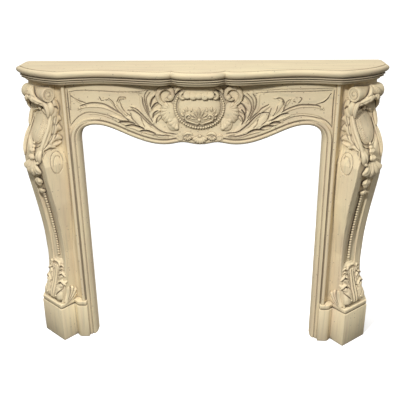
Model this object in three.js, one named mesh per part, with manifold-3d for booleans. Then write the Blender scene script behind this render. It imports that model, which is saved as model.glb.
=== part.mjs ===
// Carved limestone fireplace surround in the Louis XV manner: a serpentine shelf, an arched frieze with a
// beaded cartouche between two foliage sprays, and two jambs with diagonal scrolled consoles on plinths.
// Millimetres, +Z up, viewer at -Y. The wall plane is y = 0 here, and the group then centres the depth.
import * as THREE from 'three';
import { mergeVertices } from 'three/addons/utils/BufferGeometryUtils.js';
import Module from 'manifold-3d';

const wasm = await Module();
wasm.setup();

// Driving dimensions
const HEIGHT = 1222; // floor to shelf top
const DEPTH = 284; // wall to the front of the shelf
const SHELF_HALF = 729; // centre line to the shelf tip
const SHELF_THICK = 57;
const JOINT = 0.3; // open joint between stones
const CUT_TOLERANCE = 0.5; // slivers finer than this are dressed away
const OPENING_HALF = 489; // centre line to the reveal
const SEAT = 926; // height at which the frieze sits on the jambs
const FRIEZE_END = 527; // centre line to the joint between frieze and pilaster
const FRIEZE_GROUND = 160; // wall to the frieze's flat ground
const SLAB_BACK = 108; // wall to the plain back of the frieze and inner jamb
const PLINTH_HEIGHT = 158;
const CAP_HEIGHT = 183;
const CONSOLE_TURN = THREE.MathUtils.degToRad(40); // diagonal set of console and plinth
const CONSOLE_X = 680.5; // middle of the plinth's diagonal face
const CONSOLE_Y = -175.5;
const PLINTH_HALF = 72.5; // half width of the plinth's diagonal face
const CONSOLE_HALF = 63; // half width of the console
const SHELF_UNDER = HEIGHT - SHELF_THICK;
const STONE_TOP = SHELF_UNDER - JOINT; // top of frieze and jambs

const limestone = new THREE.MeshStandardMaterial({ color: 0xd8c6a0, roughness: 0.85, metalness: 0 });
const UP = new THREE.Vector3(0, 0, 1);
const FRONT = new THREE.Vector3(0, -1, 0);
const SHOWN = new THREE.Vector3(Math.sin(CONSOLE_TURN), -Math.cos(CONSOLE_TURN), 0); // console front
const ACROSS = new THREE.Vector3(Math.cos(CONSOLE_TURN), Math.sin(CONSOLE_TURN), 0); // towards the outside
const INWARD = ACROSS.clone().negate();

// Solids and meshes
function solidOf(geometry) {
  geometry.deleteAttribute('normal');
  geometry.deleteAttribute('uv');
  const merged = mergeVertices(geometry, 1e-3);
  return new wasm.Manifold(new wasm.Mesh({
    numProp: 3,
    vertProperties: new Float32Array(merged.attributes.position.array),
    triVerts: new Uint32Array(merged.index.array),
  }));
}

// Joins solids into one stone and keeps its outer skin, so pockets closed in by the carving are solid stone.
function joined(solids) {
  const skins = solids.reduce((whole, piece) => whole.add(piece)).simplify(CUT_TOLERANCE).decompose();
  return skins.reduce((largest, skin) => (skin.volume() > largest.volume() ? skin : largest));
}

function stoneMesh(name, solid, mirrored = false) {
  const { vertProperties, triVerts } = solid.getMesh();
  const geometry = new THREE.BufferGeometry();
  geometry.setAttribute('position', new THREE.BufferAttribute(new Float32Array(vertProperties), 3));
  const index = Array.from(triVerts);
  if (mirrored) {
    geometry.scale(-1, 1, 1);
    index.reverse();
  }
  geometry.setIndex(index);
  geometry.computeVertexNormals();
  const mesh = new THREE.Mesh(geometry, limestone);
  mesh.name = name;
  return mesh;
}

// A closed skin over a stack of rings, capped by the flat rings at both ends.
function loft(rings, flat) {
  const count = rings[0].length;
  const last = (rings.length - 1) * count;
  const index = [];
  for (let start = 0; start < last; start += count) {
    for (let i = 0; i < count; i += 1) {
      const a = start + i;
      const b = start + ((i + 1) % count);
      index.push(a, b, b + count, a, b + count, a + count);
    }
  }
  for (const [a, b, c] of THREE.ShapeUtils.triangulateShape(rings[0].map(flat), [])) {
    index.push(a, c, b);
  }
  for (const [a, b, c] of THREE.ShapeUtils.triangulateShape(rings.at(-1).map(flat), [])) {
    index.push(last + a, last + b, last + c);
  }
  const geometry = new THREE.BufferGeometry();
  const positions = rings.flat().flatMap((p) => p.toArray());
  geometry.setAttribute('position', new THREE.Float32BufferAttribute(positions, 3));
  geometry.setIndex(index);
  return solidOf(geometry);
}

// Unit normals to the right of an open run of points, by central differences.
function sideways(points) {
  return points.map((point, i) => {
    const before = points[Math.max(i - 1, 0)];
    const after = points[Math.min(i + 1, points.length - 1)];
    const along = after.clone().sub(before).normalize();
    return new THREE.Vector2(along.y, -along.x);
  });
}

// A plan extruded upwards between two heights.
function standing(points, low, high) {
  const shape = new THREE.Shape(points.map(([x, y]) => new THREE.Vector2(x, y)));
  const slab = new THREE.ExtrudeGeometry(shape, { depth: high - low, bevelEnabled: false });
  return solidOf(slab.translate(0, 0, low));
}

// A ball drawn out along a curve: leaf, lobe, stem or strap. It is fullest at broad, with ends as blunt.
function drawn(points, halfWidth, rise, up, { sides = 4, rings = 4, broad = 0.5, blunt = 0.7 } = {}) {
  const spine = new THREE.CatmullRomCurve3(points);
  const ball = new THREE.SphereGeometry(1, sides, rings);
  const { position, uv } = ball.attributes;
  const lean = Math.log(0.5) / Math.log(broad);
  for (let i = 0; i < position.count; i += 1) {
    const along = 1 - uv.getY(i);
    const turn = 2 * Math.PI * (uv.getX(i) % 1);
    const inside = along > 0 && along < 1;
    const girth = inside ? Math.sin(Math.PI * along ** lean) ** blunt : 0;
    const side = spine.getTangent(along).cross(up).normalize();
    const point = spine.getPoint(along)
      .addScaledVector(side, Math.cos(turn) * halfWidth * girth)
      .addScaledVector(up, Math.sin(turn) * rise * girth);
    position.setXYZ(i, point.x, point.y, point.z);
  }
  return solidOf(ball);
}

function bead(centre, radius) {
  return solidOf(new THREE.OctahedronGeometry(radius, 0).translate(centre.x, centre.y, centre.z));
}

// A flattened ball: radius along three given directions.
function boss(centre, across, up, out, [wide, tall, proud], sides = 10, rings = 6) {
  const ball = new THREE.SphereGeometry(1, sides, rings);
  const frame = new THREE.Matrix4().makeBasis(across, up, out).setPosition(centre);
  return solidOf(ball.scale(wide, tall, proud).applyMatrix4(frame));
}

// Points of a flat spiral from an outer to an inner radius.
function spiral(place, startTurn, sweep, outer, inner, steps) {
  return Array.from({ length: steps + 1 }, (_, i) => {
    const share = i / steps;
    const radius = outer + (inner - outer) * share;
    const turn = startTurn + sweep * share;
    return place(radius * Math.cos(turn), radius * Math.sin(turn));
  });
}

// Shelf: the plan of its front edge, then the moulded edge as rings of that plan drawn inwards
function shelfEdge() {
  const edge = new THREE.Path();
  edge.moveTo(0, -DEPTH);
  edge.bezierCurveTo(48, -DEPTH, 84, -274, 102, -252);
  edge.bezierCurveTo(116, -264, 140, -268, 168, -264);
  edge.bezierCurveTo(240, -252, 310, -222, 384, -222);
  edge.bezierCurveTo(440, -222, 480, -236, 531, -250);
  edge.quadraticCurveTo(668, -212, SHELF_HALF, -112);
  edge.lineTo(SHELF_HALF, 0);
  return edge.getPoints(5);
}

// How far the edge is cut back at each depth below the top: nosing, two fillets and a cove.
const SHELF_PROFILE = [
  [7, 0], [0, 5], [2, 17], [10, 27], [12, 35], [19, 37], [20, 46], [34, SHELF_THICK],
];

function shelf() {
  const half = shelfEdge();
  const left = half.slice(1).map((p) => new THREE.Vector2(-p.x, p.y)).reverse();
  const plan = [...left, ...half];
  const outward = sideways(plan);
  const rings = SHELF_PROFILE.map(([cut, drop]) => plan.map((p, i) => new THREE.Vector3(
    p.x - outward[i].x * cut,
    p.y === 0 ? 0 : p.y - outward[i].y * cut,
    HEIGHT - drop,
  )));
  return loft(rings.reverse(), (p) => new THREE.Vector2(p.x, p.y));
}

// Frieze: the serpentine arch, then its roll moulding as rings drawn up from the arch
function archEdge() {
  const arch = new THREE.Path();
  arch.moveTo(OPENING_HALF, SEAT + JOINT);
  arch.bezierCurveTo(OPENING_HALF, 968, 466, 991, 420, 991);
  arch.bezierCurveTo(362, 991, 312, 953, 239, 928);
  arch.bezierCurveTo(205, 916, 176, 910, 143, 910);
  arch.bezierCurveTo(112, 910, 92, 919, 70, 919);
  arch.bezierCurveTo(48, 919, 30, 910, 0, 910);
  return arch.getPoints(4);
}

// How far the edge is cut back into the stone at each distance from the wall.
const ARCH_PROFILE = [[0, SLAB_BACK], [0, 148], [9, 163], [16, 161], [19, 154], [22, FRIEZE_GROUND]];

function friezeSlab() {
  const half = archEdge();
  const left = half.slice(0, -1).map((p) => new THREE.Vector2(-p.x, p.y));
  const arch = [...left, ...half.reverse()];
  const into = sideways(arch).map((n) => n.negate());
  into[0].set(-1, 0);
  into[arch.length - 1].set(1, 0);
  const end = FRIEZE_END - JOINT;
  const corners = [[end, SEAT + JOINT], [end, STONE_TOP], [-end, STONE_TOP], [-end, SEAT + JOINT]];
  const rings = ARCH_PROFILE.map(([cut, out]) => [
    ...arch.map((p, i) => new THREE.Vector3(p.x + into[i].x * cut, -out, p.y + into[i].y * cut)),
    ...corners.map(([x, z]) => new THREE.Vector3(x, -out, z)),
  ]);
  return loft(rings, (p) => new THREE.Vector2(p.x, p.z));
}

// A place on the frieze, lifted towards the viewer; a carved edge starts just below the ground.
function onFrieze(x, z, lift = -1) {
  return new THREE.Vector3(x, -FRIEZE_GROUND - lift, z);
}

const CARTOUCHE = { z: 1070, wide: 95, tall: 82, beads: 22, bead: 8 };

// Each leaf of a spray: its spine as base, bend and tip, then half width and rise.
const SPRAY_LEAVES = [
  [[92, 942], [170, 966], [262, 1012], 9, 9],
  [[100, 948], [190, 984], [278, 1070], 13, 9],
  [[120, 958], [215, 1008], [330, 1034], 8, 8],
  [[110, 944], [190, 966], [300, 996], 7, 8],
  [[150, 968], [228, 1018], [272, 1046], 11, 8],
  [[288, 1040], [322, 1078], [298, 1110], 8, 7],
  [[318, 1052], [338, 1084], [352, 1104], 4, 5],
  [[165, 980], [213, 1060], [226, 1134], 14, 8],
  [[186, 1000], [172, 1016], [152, 1030], 8, 9],
  [[192, 1020], [178, 1042], [154, 1056], 8, 9],
  [[198, 1042], [186, 1070], [152, 1090], 9, 9],
  [[202, 1062], [194, 1098], [164, 1126], 9, 9],
];

function spray(side) {
  const leaves = SPRAY_LEAVES.map(([base, bend, tip, halfWidth, rise]) => drawn(
    [base, bend, tip].map(([x, z]) => onFrieze(side * x, z)),
    halfWidth,
    rise,
    FRONT,
    { blunt: 0.8, rings: Math.hypot(tip[0] - base[0], tip[1] - base[1]) < 80 ? 3 : 4 },
  ));
  const stem = drawn(
    [[90, 946], [190, 984], [290, 1036], [371, 1079], [412, 1088], [452, 1081], [478, 1070]]
      .map(([x, z]) => onFrieze(side * x, z)),
    5,
    7,
    FRONT,
    { rings: 8, blunt: 0.3 },
  );
  const tendril = drawn(
    [[446, 1088], [470, 1094], [504, 1120]].map(([x, z]) => onFrieze(side * x, z)),
    3,
    4,
    FRONT,
  );
  const buds = [[479, 1068, 9], [366, 1102, 7]]
    .map(([x, z, radius]) => bead(onFrieze(side * x, z), radius));
  const rosette = boss(onFrieze(side * 79, 943), new THREE.Vector3(1, 0, 0), UP, FRONT, [15, 15, 9], 8, 4);
  return [...leaves, stem, tendril, rosette, ...buds];
}

// The scroll beside the cartouche: a volute, its tail, the fluted shell below it and a rounded lobe.
function scroll(side) {
  const place = (x, z) => onFrieze(side * (126 - x), 1116 + z, 6);
  const volute = spiral(place, Math.PI * 1.12, -Math.PI * 1.95, 36, 12, 10);
  const body = drawn([onFrieze(side * 128, 1068, 2), ...volute], 10, 13, FRONT, {
    rings: 10,
    blunt: 0.35,
    broad: 0.55,
  });
  const eye = bead(onFrieze(side * 112, 1108, 8), 11);
  const flutes = [0, 1, 2, 3].map((i) => drawn(
    [onFrieze(side * (104 - i), 1082 - i * 15, 6), onFrieze(side * 128, 1066 - i * 14, 8),
      onFrieze(side * (148 - i * 4), 1062 - i * 16, 0)],
    9,
    13,
    FRONT,
    { broad: 0.6 },
  ));
  const lobe = boss(onFrieze(side * 108, 990), new THREE.Vector3(1, 0, 0), UP, FRONT, [22, 24, 14], 8, 4);
  return [body, eye, ...flutes, lobe];
}

// The oval cartouche: cushioned field, bead rim and ruffled crest.
function cartouche() {
  const across = new THREE.Vector3(1, 0, 0);
  const { z, wide, tall, beads, bead: beadRadius } = CARTOUCHE;
  const plate = new THREE.CylinderGeometry(1, 1.14, 1, 22).rotateX(Math.PI / 2).scale(wide + 8, 26, tall + 8);
  const backing = solidOf(plate.translate(0, -FRIEZE_GROUND + 3, z));
  const field = boss(onFrieze(0, z, 8), across, UP, FRONT, [wide - 12, tall - 12, 26], 14, 6);
  const rim = Array.from({ length: beads }, (_, i) => {
    const turn = (2 * Math.PI * i) / beads;
    return bead(onFrieze(wide * Math.cos(turn), z + tall * Math.sin(turn), 9), beadRadius);
  });
  const crest = [-2, -1, 0, 1, 2].map((i) => boss(
    onFrieze(i * 25, 1130 - Math.abs(i) * 2, 22),
    across,
    UP,
    FRONT,
    [19, 15, 18],
    6,
    4,
  ));
  return [backing, field, ...rim, ...crest];
}

// The pendant on the arch's centre: a scalloped shell between two smaller ones.
function pendant() {
  const shells = [[0, 26, 3], [-47, 15, 2], [47, 15, 2]];
  return shells.flatMap(([x, reach, ribs]) => Array.from({ length: ribs }, (_, i) => {
    const fan = (i / (ribs - 1) - 0.5) * 1.9;
    const top = onFrieze(x, 951, 2);
    const foot = onFrieze(x + Math.sin(fan) * reach * 1.15, 945 - Math.cos(fan) * reach, 4);
    const middle = top.clone().lerp(foot, 0.5).addScaledVector(FRONT, 4);
    return drawn([top, middle, foot], 7, 9, FRONT, { broad: 0.7 });
  }));
}

// A thin raised frame round the upper part of the frieze panel.
function panelFrame(side) {
  const bar = (low, high) => standing(
    [[low[0], -FRIEZE_GROUND - 3], [high[0], -FRIEZE_GROUND - 3], [high[0], -FRIEZE_GROUND + 2],
      [low[0], -FRIEZE_GROUND + 2]],
    low[1],
    high[1],
  );
  const [near, far] = [222, 518].map((x) => side * x);
  const top = bar([Math.min(near, far), 1134], [Math.max(near, far), 1140]);
  const [inner, outer] = [512, 518].map((x) => side * x);
  const upright = bar([Math.min(inner, outer), 1000], [Math.max(inner, outer), 1140]);
  return [top, upright];
}

function frieze() {
  const carving = [1, -1].flatMap((side) => [...spray(side), ...scroll(side), ...panelFrame(side)]);
  return joined([friezeSlab(), ...carving, ...cartouche(), ...pendant()]);
}

// Right jamb; the left one is its mirror. A place on the console: across, out from its plinth, and height.
function onConsole(across, out, height) {
  return new THREE.Vector3(CONSOLE_X, CONSOLE_Y, height)
    .addScaledVector(ACROSS, across)
    .addScaledVector(SHOWN, out);
}

function planPoint(across, out) {
  const point = onConsole(across, out, 0);
  return [point.x, point.y];
}

// Inner moulding of the jamb in plan, from the reveal to the console's flank.
const JAMB_MOULDING = [
  [OPENING_HALF, -SLAB_BACK], [OPENING_HALF, -138], [491, -150], [497, -160], [506, -165], [510, -161],
  [513, -169], [522, -174], [526, -170], [FRIEZE_END, -177], [545, -177], [547, -163], [553, -149],
  [562, -142], [571, -140], [620, -140],
];
const JAMB_RETURN = [[690, -100], [690, 0], [560, 0], [560, -SLAB_BACK]];

function jambPosts() {
  const pilaster = JAMB_MOULDING.filter(([x]) => x >= FRIEZE_END);
  const behind = [FRIEZE_END, -SLAB_BACK];
  return [
    standing([...JAMB_MOULDING, ...JAMB_RETURN], 0, SEAT),
    standing([behind, ...pilaster, ...JAMB_RETURN], SEAT - 1, STONE_TOP),
  ];
}

function plinth() {
  const block = (inset, low, high) => standing([
    [529 + inset, -130], [529 + inset, inset - 185],
    planPoint(-PLINTH_HALF + inset, -73 - inset),
    planPoint(-PLINTH_HALF + inset, -inset),
    planPoint(PLINTH_HALF - inset, -inset),
    [planPoint(PLINTH_HALF, 0)[0] - inset, -100],
    [planPoint(PLINTH_HALF, 0)[0] - inset, 0],
    [600, 0],
  ], low, high);
  return [block(0, 0, PLINTH_HEIGHT), block(5, PLINTH_HEIGHT - 1, CAP_HEIGHT)];
}

// The console's front: an S-curve from the ankle over the belly to the neck, as [out, height].
const CONSOLE_FRONT = new THREE.SplineCurve([
  [-14, CAP_HEIGHT - 2], [-24, 227], [-42, 290], [-53, 370], [-53, 437], [-48, 510], [-36, 600], [-20, 690],
  [-6, 765], [2, 830], [0, 890], [-20, 950], [-48, 1010], [-62, 1060], [-70, 1100],
].map(([out, height]) => new THREE.Vector2(out, height)));

function frontAt(height) {
  const points = CONSOLE_FRONT.getPoints(60);
  const after = points.findIndex((p) => p.y >= height);
  const [low, high] = [points[Math.max(after - 1, 0)], points[after]];
  const share = high.y === low.y ? 0 : (height - low.y) / (high.y - low.y);
  return low.x + (high.x - low.x) * share;
}

// The console's profile, extruded across its width.
function consoleSlab(halfWidth, recess, low, high, back) {
  const steps = 14;
  const shape = new THREE.Shape();
  shape.moveTo(back, low);
  for (let i = 0; i <= steps; i += 1) {
    const height = low + ((high - low) * i) / steps;
    shape.lineTo(frontAt(Math.min(height, 1099)) - recess, height);
  }
  shape.lineTo(back, high);
  const slab = new THREE.ExtrudeGeometry(shape, { depth: 2 * halfWidth, bevelEnabled: false });
  const frame = new THREE.Matrix4().makeBasis(SHOWN, UP, INWARD).setPosition(onConsole(halfWidth, 0, 0));
  return solidOf(slab.applyMatrix4(frame));
}

const CHANNEL = { low: 392, high: 705, half: 36, deep: 13 };

function channel() {
  const { low, high, half, deep } = CHANNEL;
  const front = consoleSlab(half, -40, low, high, -200);
  return front.subtract(consoleSlab(half + 5, deep, low - 5, high + 5, -220));
}

const ROLL = { out: -54, height: 1121, radius: 29, half: 77 };

function roll() {
  const { out, height, radius, half } = ROLL;
  const bolster = new THREE.CylinderGeometry(radius, radius, 2 * half, 16);
  const frame = new THREE.Matrix4().makeBasis(SHOWN, ACROSS, UP).setPosition(onConsole(0, out, height));
  const scrollLine = drawn(
    spiral((x, z) => onConsole(-half, out + x, height + z), Math.PI / 2, -Math.PI * 3, radius - 3, 6, 10),
    2.5,
    3,
    INWARD,
    { rings: 9, blunt: 0.3 },
  );
  const husk = drawn(
    [onConsole(0, out + radius - 8, height + 20), onConsole(0, out + radius + 2, height),
      onConsole(0, out + radius - 6, height - 18)],
    13,
    7,
    SHOWN,
  );
  return [solidOf(bolster.applyMatrix4(frame)), scrollLine, husk];
}

// Carving that repeats on both halves of the console's front.
function hoodAndStrap(side) {
  const place = ([across, out, height]) => onConsole(side * across, out, height);
  const hood = drawn(
    [[-2, -32, 1106], [24, -26, 1104], [50, -38, 1084], [60, -50, 1058]].map(place),
    12,
    11,
    SHOWN,
    { broad: 0.35, rings: 5 },
  );
  const strap = drawn(
    [[56, -58, 1076], [62, -56, 1030], [60, -38, 975], [48, -10, 920], [34, 4, 880]].map(place),
    8,
    9,
    SHOWN,
    { rings: 7, blunt: 0.35 },
  );
  const lobe = drawn(
    [[40, -4, 908], [36, 6, 876], [30, 6, 846]].map(place),
    17,
    13,
    SHOWN,
    { broad: 0.65, blunt: 0.5 },
  );
  const ear = drawn([[62, -40, 986], [68, -18, 930], [66, -8, 880]].map(place), 10, 10, SHOWN);
  return [hood, strap, lobe, ear];
}

function drop() {
  const place = ([across, out, height]) => onConsole(across, out, height);
  const shield = boss(place([0, -64, 984]), ACROSS, UP, SHOWN, [46, 68, 26], 10, 6);
  const husks = [[916, 8], [898, 9], [880, 8]]
    .map(([height, radius]) => bead(onConsole(0, frontAt(height) + 3, height), radius));
  const petals = [-1, 0, 1].map((i) => drawn(
    [[0, 2, 868], [i * 20, 10, 840], [i * 38, 4, 802 - (i === 0 ? 12 : 0)]].map(place),
    17,
    13,
    SHOWN,
    { broad: 0.65, blunt: 0.5 },
  ));
  const buds = [[790, 748, 17], [746, 712, 11]].flatMap(([top, foot, wide]) => [-1, 1].map((i) => drawn(
    [[0, frontAt(top) - 4, top], [i * wide * 0.6, frontAt(top) - 6, (top + foot) / 2],
      [i * wide * 0.5, frontAt(foot) - 10, foot]].map(place),
    wide * 0.7,
    12,
    SHOWN,
    { broad: 0.6 },
  )));
  const string = drawn(
    [690, 600, 500, 400].map((height) => onConsole(0, frontAt(height) - CHANNEL.deep, height)),
    6,
    7,
    SHOWN,
    { rings: 6, blunt: 0.2 },
  );
  return [shield, ...husks, ...petals, ...buds, string];
}

// The acanthus leaf that sheathes the console's foot.
function foot() {
  const place = ([across, height, lift]) => onConsole(across, frontAt(height) + lift, height);
  const rib = drawn(
    [[0, 388, -4], [0, 300, 8], [0, 230, 10], [0, CAP_HEIGHT + 4, 6]].map(place),
    7,
    9,
    SHOWN,
    { rings: 6, blunt: 0.4 },
  );
  const lip = drawn([[-26, 386, -2], [0, 392, 6], [26, 386, -2]].map(place), 8, 9, SHOWN);
  const lobes = [1, -1].flatMap((side) => [0, 1, 2].map((i) => {
    const base = 328 - i * 52;
    const reach = 46 + i * 10;
    return drawn(
      [[side * 4, base - 28, -2], [side * reach * 0.55, base - 4, 3],
        [side * reach, base + 30 - i * 4, -4]].map(place),
      15 + i * 2,
      15,
      SHOWN,
      { broad: 0.6, blunt: 0.6 },
    );
  }));
  const skirt = [1, -1].map((side) => drawn(
    [[side * 14, 262, -2], [side * 36, 226, 4], [side * 40, CAP_HEIGHT + 2, 0]].map(place),
    24,
    18,
    SHOWN,
    { broad: 0.65, blunt: 0.5 },
  ));
  return [rib, lip, ...lobes, ...skirt];
}

// Leaf lobes, volute eye and foot leaf on the console's flank that faces the opening.
function flank() {
  const place = ([out, height, lift]) => onConsole(-CONSOLE_HALF - lift, out, height);
  const lobes = [[-60, 1040], [-58, 1000], [-46, 962], [-26, 932]].map(([out, height]) => drawn(
    [[out + 4, height - 26, -2], [out - 16, height - 2, 3], [out - 40, height + 8, -2]].map(place),
    15,
    14,
    INWARD,
    { broad: 0.6, blunt: 0.55 },
  ));
  const eye = new THREE.TorusGeometry(1, 0.1, 4, 14);
  const frame = new THREE.Matrix4().makeBasis(SHOWN, UP, INWARD).setPosition(place([-70, 841, 0]));
  const ring = solidOf(eye.scale(25, 42, 40).applyMatrix4(frame));
  const spine = [[-30, 196, 0], [-54, 226, 6], [-66, 262, 0]].map(place);
  const leaf = drawn(spine, 15, 11, INWARD, { broad: 0.6 });
  return [...lobes, ring, leaf];
}

function jamb() {
  const shaft = consoleSlab(CONSOLE_HALF, 0, CAP_HEIGHT - 2, STONE_TOP, -110).subtract(channel());
  return joined([
    ...jambPosts(), ...plinth(), shaft, ...roll(), ...hoodAndStrap(1), ...hoodAndStrap(-1), ...drop(),
    ...foot(), ...flank(),
  ]);
}

const surround = new THREE.Group();
const rightJamb = jamb();
surround.add(
  stoneMesh('mantel_shelf', shelf()),
  stoneMesh('frieze', frieze()),
  stoneMesh('left_jamb', rightJamb, true),
  stoneMesh('right_jamb', rightJamb),
);
surround.position.y = DEPTH / 2;

export default surround;
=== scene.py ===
# %% [markdown]
# # A carved limestone fireplace surround
# The real object is four dressed stones in the rococo manner: a moulded shelf, an arched frieze and two
# jambs with diagonal consoles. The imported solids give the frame: their sizes and places are fixed.
# Here each stone is carved again at full detail, in millimetres on the wall plane, and is then scaled
# to metres and set in the frame's place.

# %% Load the frame
import math

import bmesh
import bpy
import numpy as np
from mathutils import Matrix, Vector, noise


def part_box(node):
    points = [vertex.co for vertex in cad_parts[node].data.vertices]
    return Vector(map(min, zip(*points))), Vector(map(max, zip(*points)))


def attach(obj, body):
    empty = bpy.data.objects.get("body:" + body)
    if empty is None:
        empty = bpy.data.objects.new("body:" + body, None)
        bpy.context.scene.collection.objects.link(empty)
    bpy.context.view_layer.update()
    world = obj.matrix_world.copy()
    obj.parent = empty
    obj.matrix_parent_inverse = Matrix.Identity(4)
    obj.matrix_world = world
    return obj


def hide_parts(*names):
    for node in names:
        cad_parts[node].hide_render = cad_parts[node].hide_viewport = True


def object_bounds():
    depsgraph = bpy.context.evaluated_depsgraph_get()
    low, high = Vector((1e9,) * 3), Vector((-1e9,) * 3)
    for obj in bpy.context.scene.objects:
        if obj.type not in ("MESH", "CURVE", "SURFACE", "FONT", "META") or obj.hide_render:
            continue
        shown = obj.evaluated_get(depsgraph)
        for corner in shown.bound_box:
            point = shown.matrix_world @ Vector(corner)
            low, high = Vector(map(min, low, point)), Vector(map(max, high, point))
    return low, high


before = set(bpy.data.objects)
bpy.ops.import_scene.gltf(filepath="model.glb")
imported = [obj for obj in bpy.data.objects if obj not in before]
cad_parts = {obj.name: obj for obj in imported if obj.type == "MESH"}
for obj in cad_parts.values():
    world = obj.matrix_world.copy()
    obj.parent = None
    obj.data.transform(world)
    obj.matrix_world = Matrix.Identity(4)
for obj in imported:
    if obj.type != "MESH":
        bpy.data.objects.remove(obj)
CAD_LOW, CAD_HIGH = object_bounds()
MM = 0.001
WALL_Y = CAD_HIGH[1]
TOP = CAD_HIGH[2] / MM
DEPTH = (CAD_HIGH[1] - CAD_LOW[1]) / MM
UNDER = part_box("mantel_shelf")[0][2] / MM
STONE_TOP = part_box("frieze")[1][2] / MM
FRIEZE_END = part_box("frieze")[1][0] / MM
SHELF_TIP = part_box("mantel_shelf")[1][0] / MM
print("nodes:", sorted(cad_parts), "height", round(TOP), "mm, depth", round(DEPTH), "mm")

# %% [markdown]
# ## Tools of the carver
# Nearly all the ornament is leaves, lobes, stems and beads. A leaf could be drawn face by face, but a ball
# drawn out along a curve gives every one of them: its girth swells and tapers, a rib or a hollow runs down
# its middle, and its edge may be cut into lobes. So one function carves them all.

# %% Curves
RIGHT = Vector((1, 0, 0))
FRONT = Vector((0, -1, 0))
RISE = Vector((0, 0, 1))


def smooth_line(points, count):
    """Evenly spaced places on a smooth curve through the points."""
    points = [Vector(p) for p in points]
    ghost = [2 * points[0] - points[1], *points, 2 * points[-1] - points[-2]]
    fine = []
    for a, b, c, d in zip(ghost, ghost[1:], ghost[2:], ghost[3:]):
        for step in range(12):
            u = step / 12
            fine.append(0.5 * (2 * b + (c - a) * u + (2 * a - 5 * b + 4 * c - d) * u * u
                               + (3 * b - a - 3 * c + d) * u ** 3))
    fine.append(points[-1])
    reach = [0]
    for a, b in zip(fine, fine[1:]):
        reach.append(reach[-1] + (b - a).length)
    line, at = [], 0
    for i in range(count):
        goal = reach[-1] * i / (count - 1)
        while at < len(fine) - 2 and reach[at + 1] < goal:
            at += 1
        share = (goal - reach[at]) / max(reach[at + 1] - reach[at], 1e-9)
        line.append(fine[at].lerp(fine[at + 1], min(share, 1)))
    return line


def spiral(place, start, sweep, outer, inner, steps=24):
    """Points of a flat spiral; place turns its two coordinates into a point in space."""
    points = []
    for i in range(steps + 1):
        share = i / steps
        radius = outer + (inner - outer) * share
        turn = start + sweep * share
        points.append(place(radius * math.cos(turn), radius * math.sin(turn)))
    return points


print("curves ready")

# %% Leaves, beads and bosses
STATIONS = 49


def leaf(bm, points, half_width, rise, up=FRONT, broad=0.5, blunt=0.7, rib=0.0, lobes=0, notch=0.4,
         crisp=1.0, sides=14, rings=20):
    """A ball drawn out along a curve. rib raises (or, below zero, hollows) its middle, lobes scallop its
    edge, and a crisp value below one squares its section, so that the edge throws a line of shade."""
    line = smooth_line(points, STATIONS)
    lean = math.log(0.5) / math.log(broad)
    ball = bmesh.ops.create_uvsphere(bm, u_segments=sides, v_segments=rings, radius=1)["verts"]
    for vert in ball:
        along = math.acos(max(-1, min(1, -vert.co.z))) / math.pi
        ring = math.hypot(vert.co.x, vert.co.y)
        across, lift = (vert.co.x / ring, vert.co.y / ring) if ring > 1e-5 else (0, 0)
        girth = math.sin(math.pi * along ** lean) ** blunt if 0.001 < along < 0.999 else 0
        wide, tall = half_width * girth, rise * girth
        if lobes:
            wave = abs(math.sin(math.pi * lobes * (along - 0.08 * abs(across))))
            wide *= 1 - notch * (1 - wave ** 0.6)
            tall *= 1 - 0.8 * notch * (1 - wave) * abs(across)
        if lift > 0:
            lift = lift ** crisp
            tall *= 1 + rib * math.exp(-(across / 0.3) ** 2)
        at = along * (STATIONS - 1)
        low = min(int(at), STATIONS - 2)
        tangent = line[min(low + 2, STATIONS - 1)] - line[max(low - 1, 0)]
        side = tangent.cross(up).normalized()
        vert.co = line[low].lerp(line[low + 1], at - low) + side * (across * wide) + up * (lift * tall)
    return ball


def fan(bm, root, tips, half_width, rise, up, bulge, **shape):
    """Fingers of one leaf, spread from a common root and bulging in the middle."""
    for tip in tips:
        leaf(bm, [root, root.lerp(tip, 0.55) + up * bulge, tip], half_width, rise, up, **shape)


def cord(bm, points, radius, up=FRONT, rise=None, sides=8, rings=24, blunt=0.2):
    """An even stem or thread with rounded ends."""
    return leaf(bm, points, radius, rise or radius, up, blunt=blunt, sides=sides, rings=rings)


def bead(bm, centre, radius):
    bmesh.ops.create_icosphere(bm, subdivisions=2, radius=radius, matrix=Matrix.Translation(centre))


def boss(bm, centre, across, up, out, size, sides=32, rings=20):
    """A ball flattened along three directions."""
    wide, tall, proud = size
    turn = Matrix((across * wide, up * tall, out * proud)).transposed().to_4x4()
    bmesh.ops.create_uvsphere(bm, u_segments=sides, v_segments=rings, radius=1,
                              matrix=Matrix.Translation(centre) @ turn)


def add_carving(stone, carve, *details, waver=0.4):
    """Carves one group by itself, which keeps each operator quick, and sets it on the stone.
    Hand work is never quite true, so its surface wavers by a fraction of a millimetre."""
    group = bmesh.new()
    carve(group, *details)
    bmesh.ops.recalc_face_normals(group, faces=group.faces)
    group.normal_update()
    for vert in group.verts:
        drift = noise.noise(vert.co * 0.021) + 0.6 * noise.noise(vert.co * 0.09)
        vert.co += vert.normal * (waver * drift)
    mesh = bpy.data.meshes.new("group")
    group.to_mesh(mesh)
    group.free()
    stone.from_mesh(mesh)
    bpy.data.meshes.remove(mesh)


print("carving tools ready")

# %% [markdown]
# ## Mouldings
# A moulding is one profile carried along an edge. On stone it is run with a scraper cut to the profile.
# Here the first ring of points is drawn once, and each next ring is an extrusion of the last one, moved to
# its place on the profile. A plain plan, such as a plinth's, is one face pulled upwards, and an open carving
# is closed by drawing its rim back into the stone.

# %% Rings and columns
def only(made, kind):
    """The verts or the edges among what an operator made."""
    return [item for item in made if isinstance(item, kind)]


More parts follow.
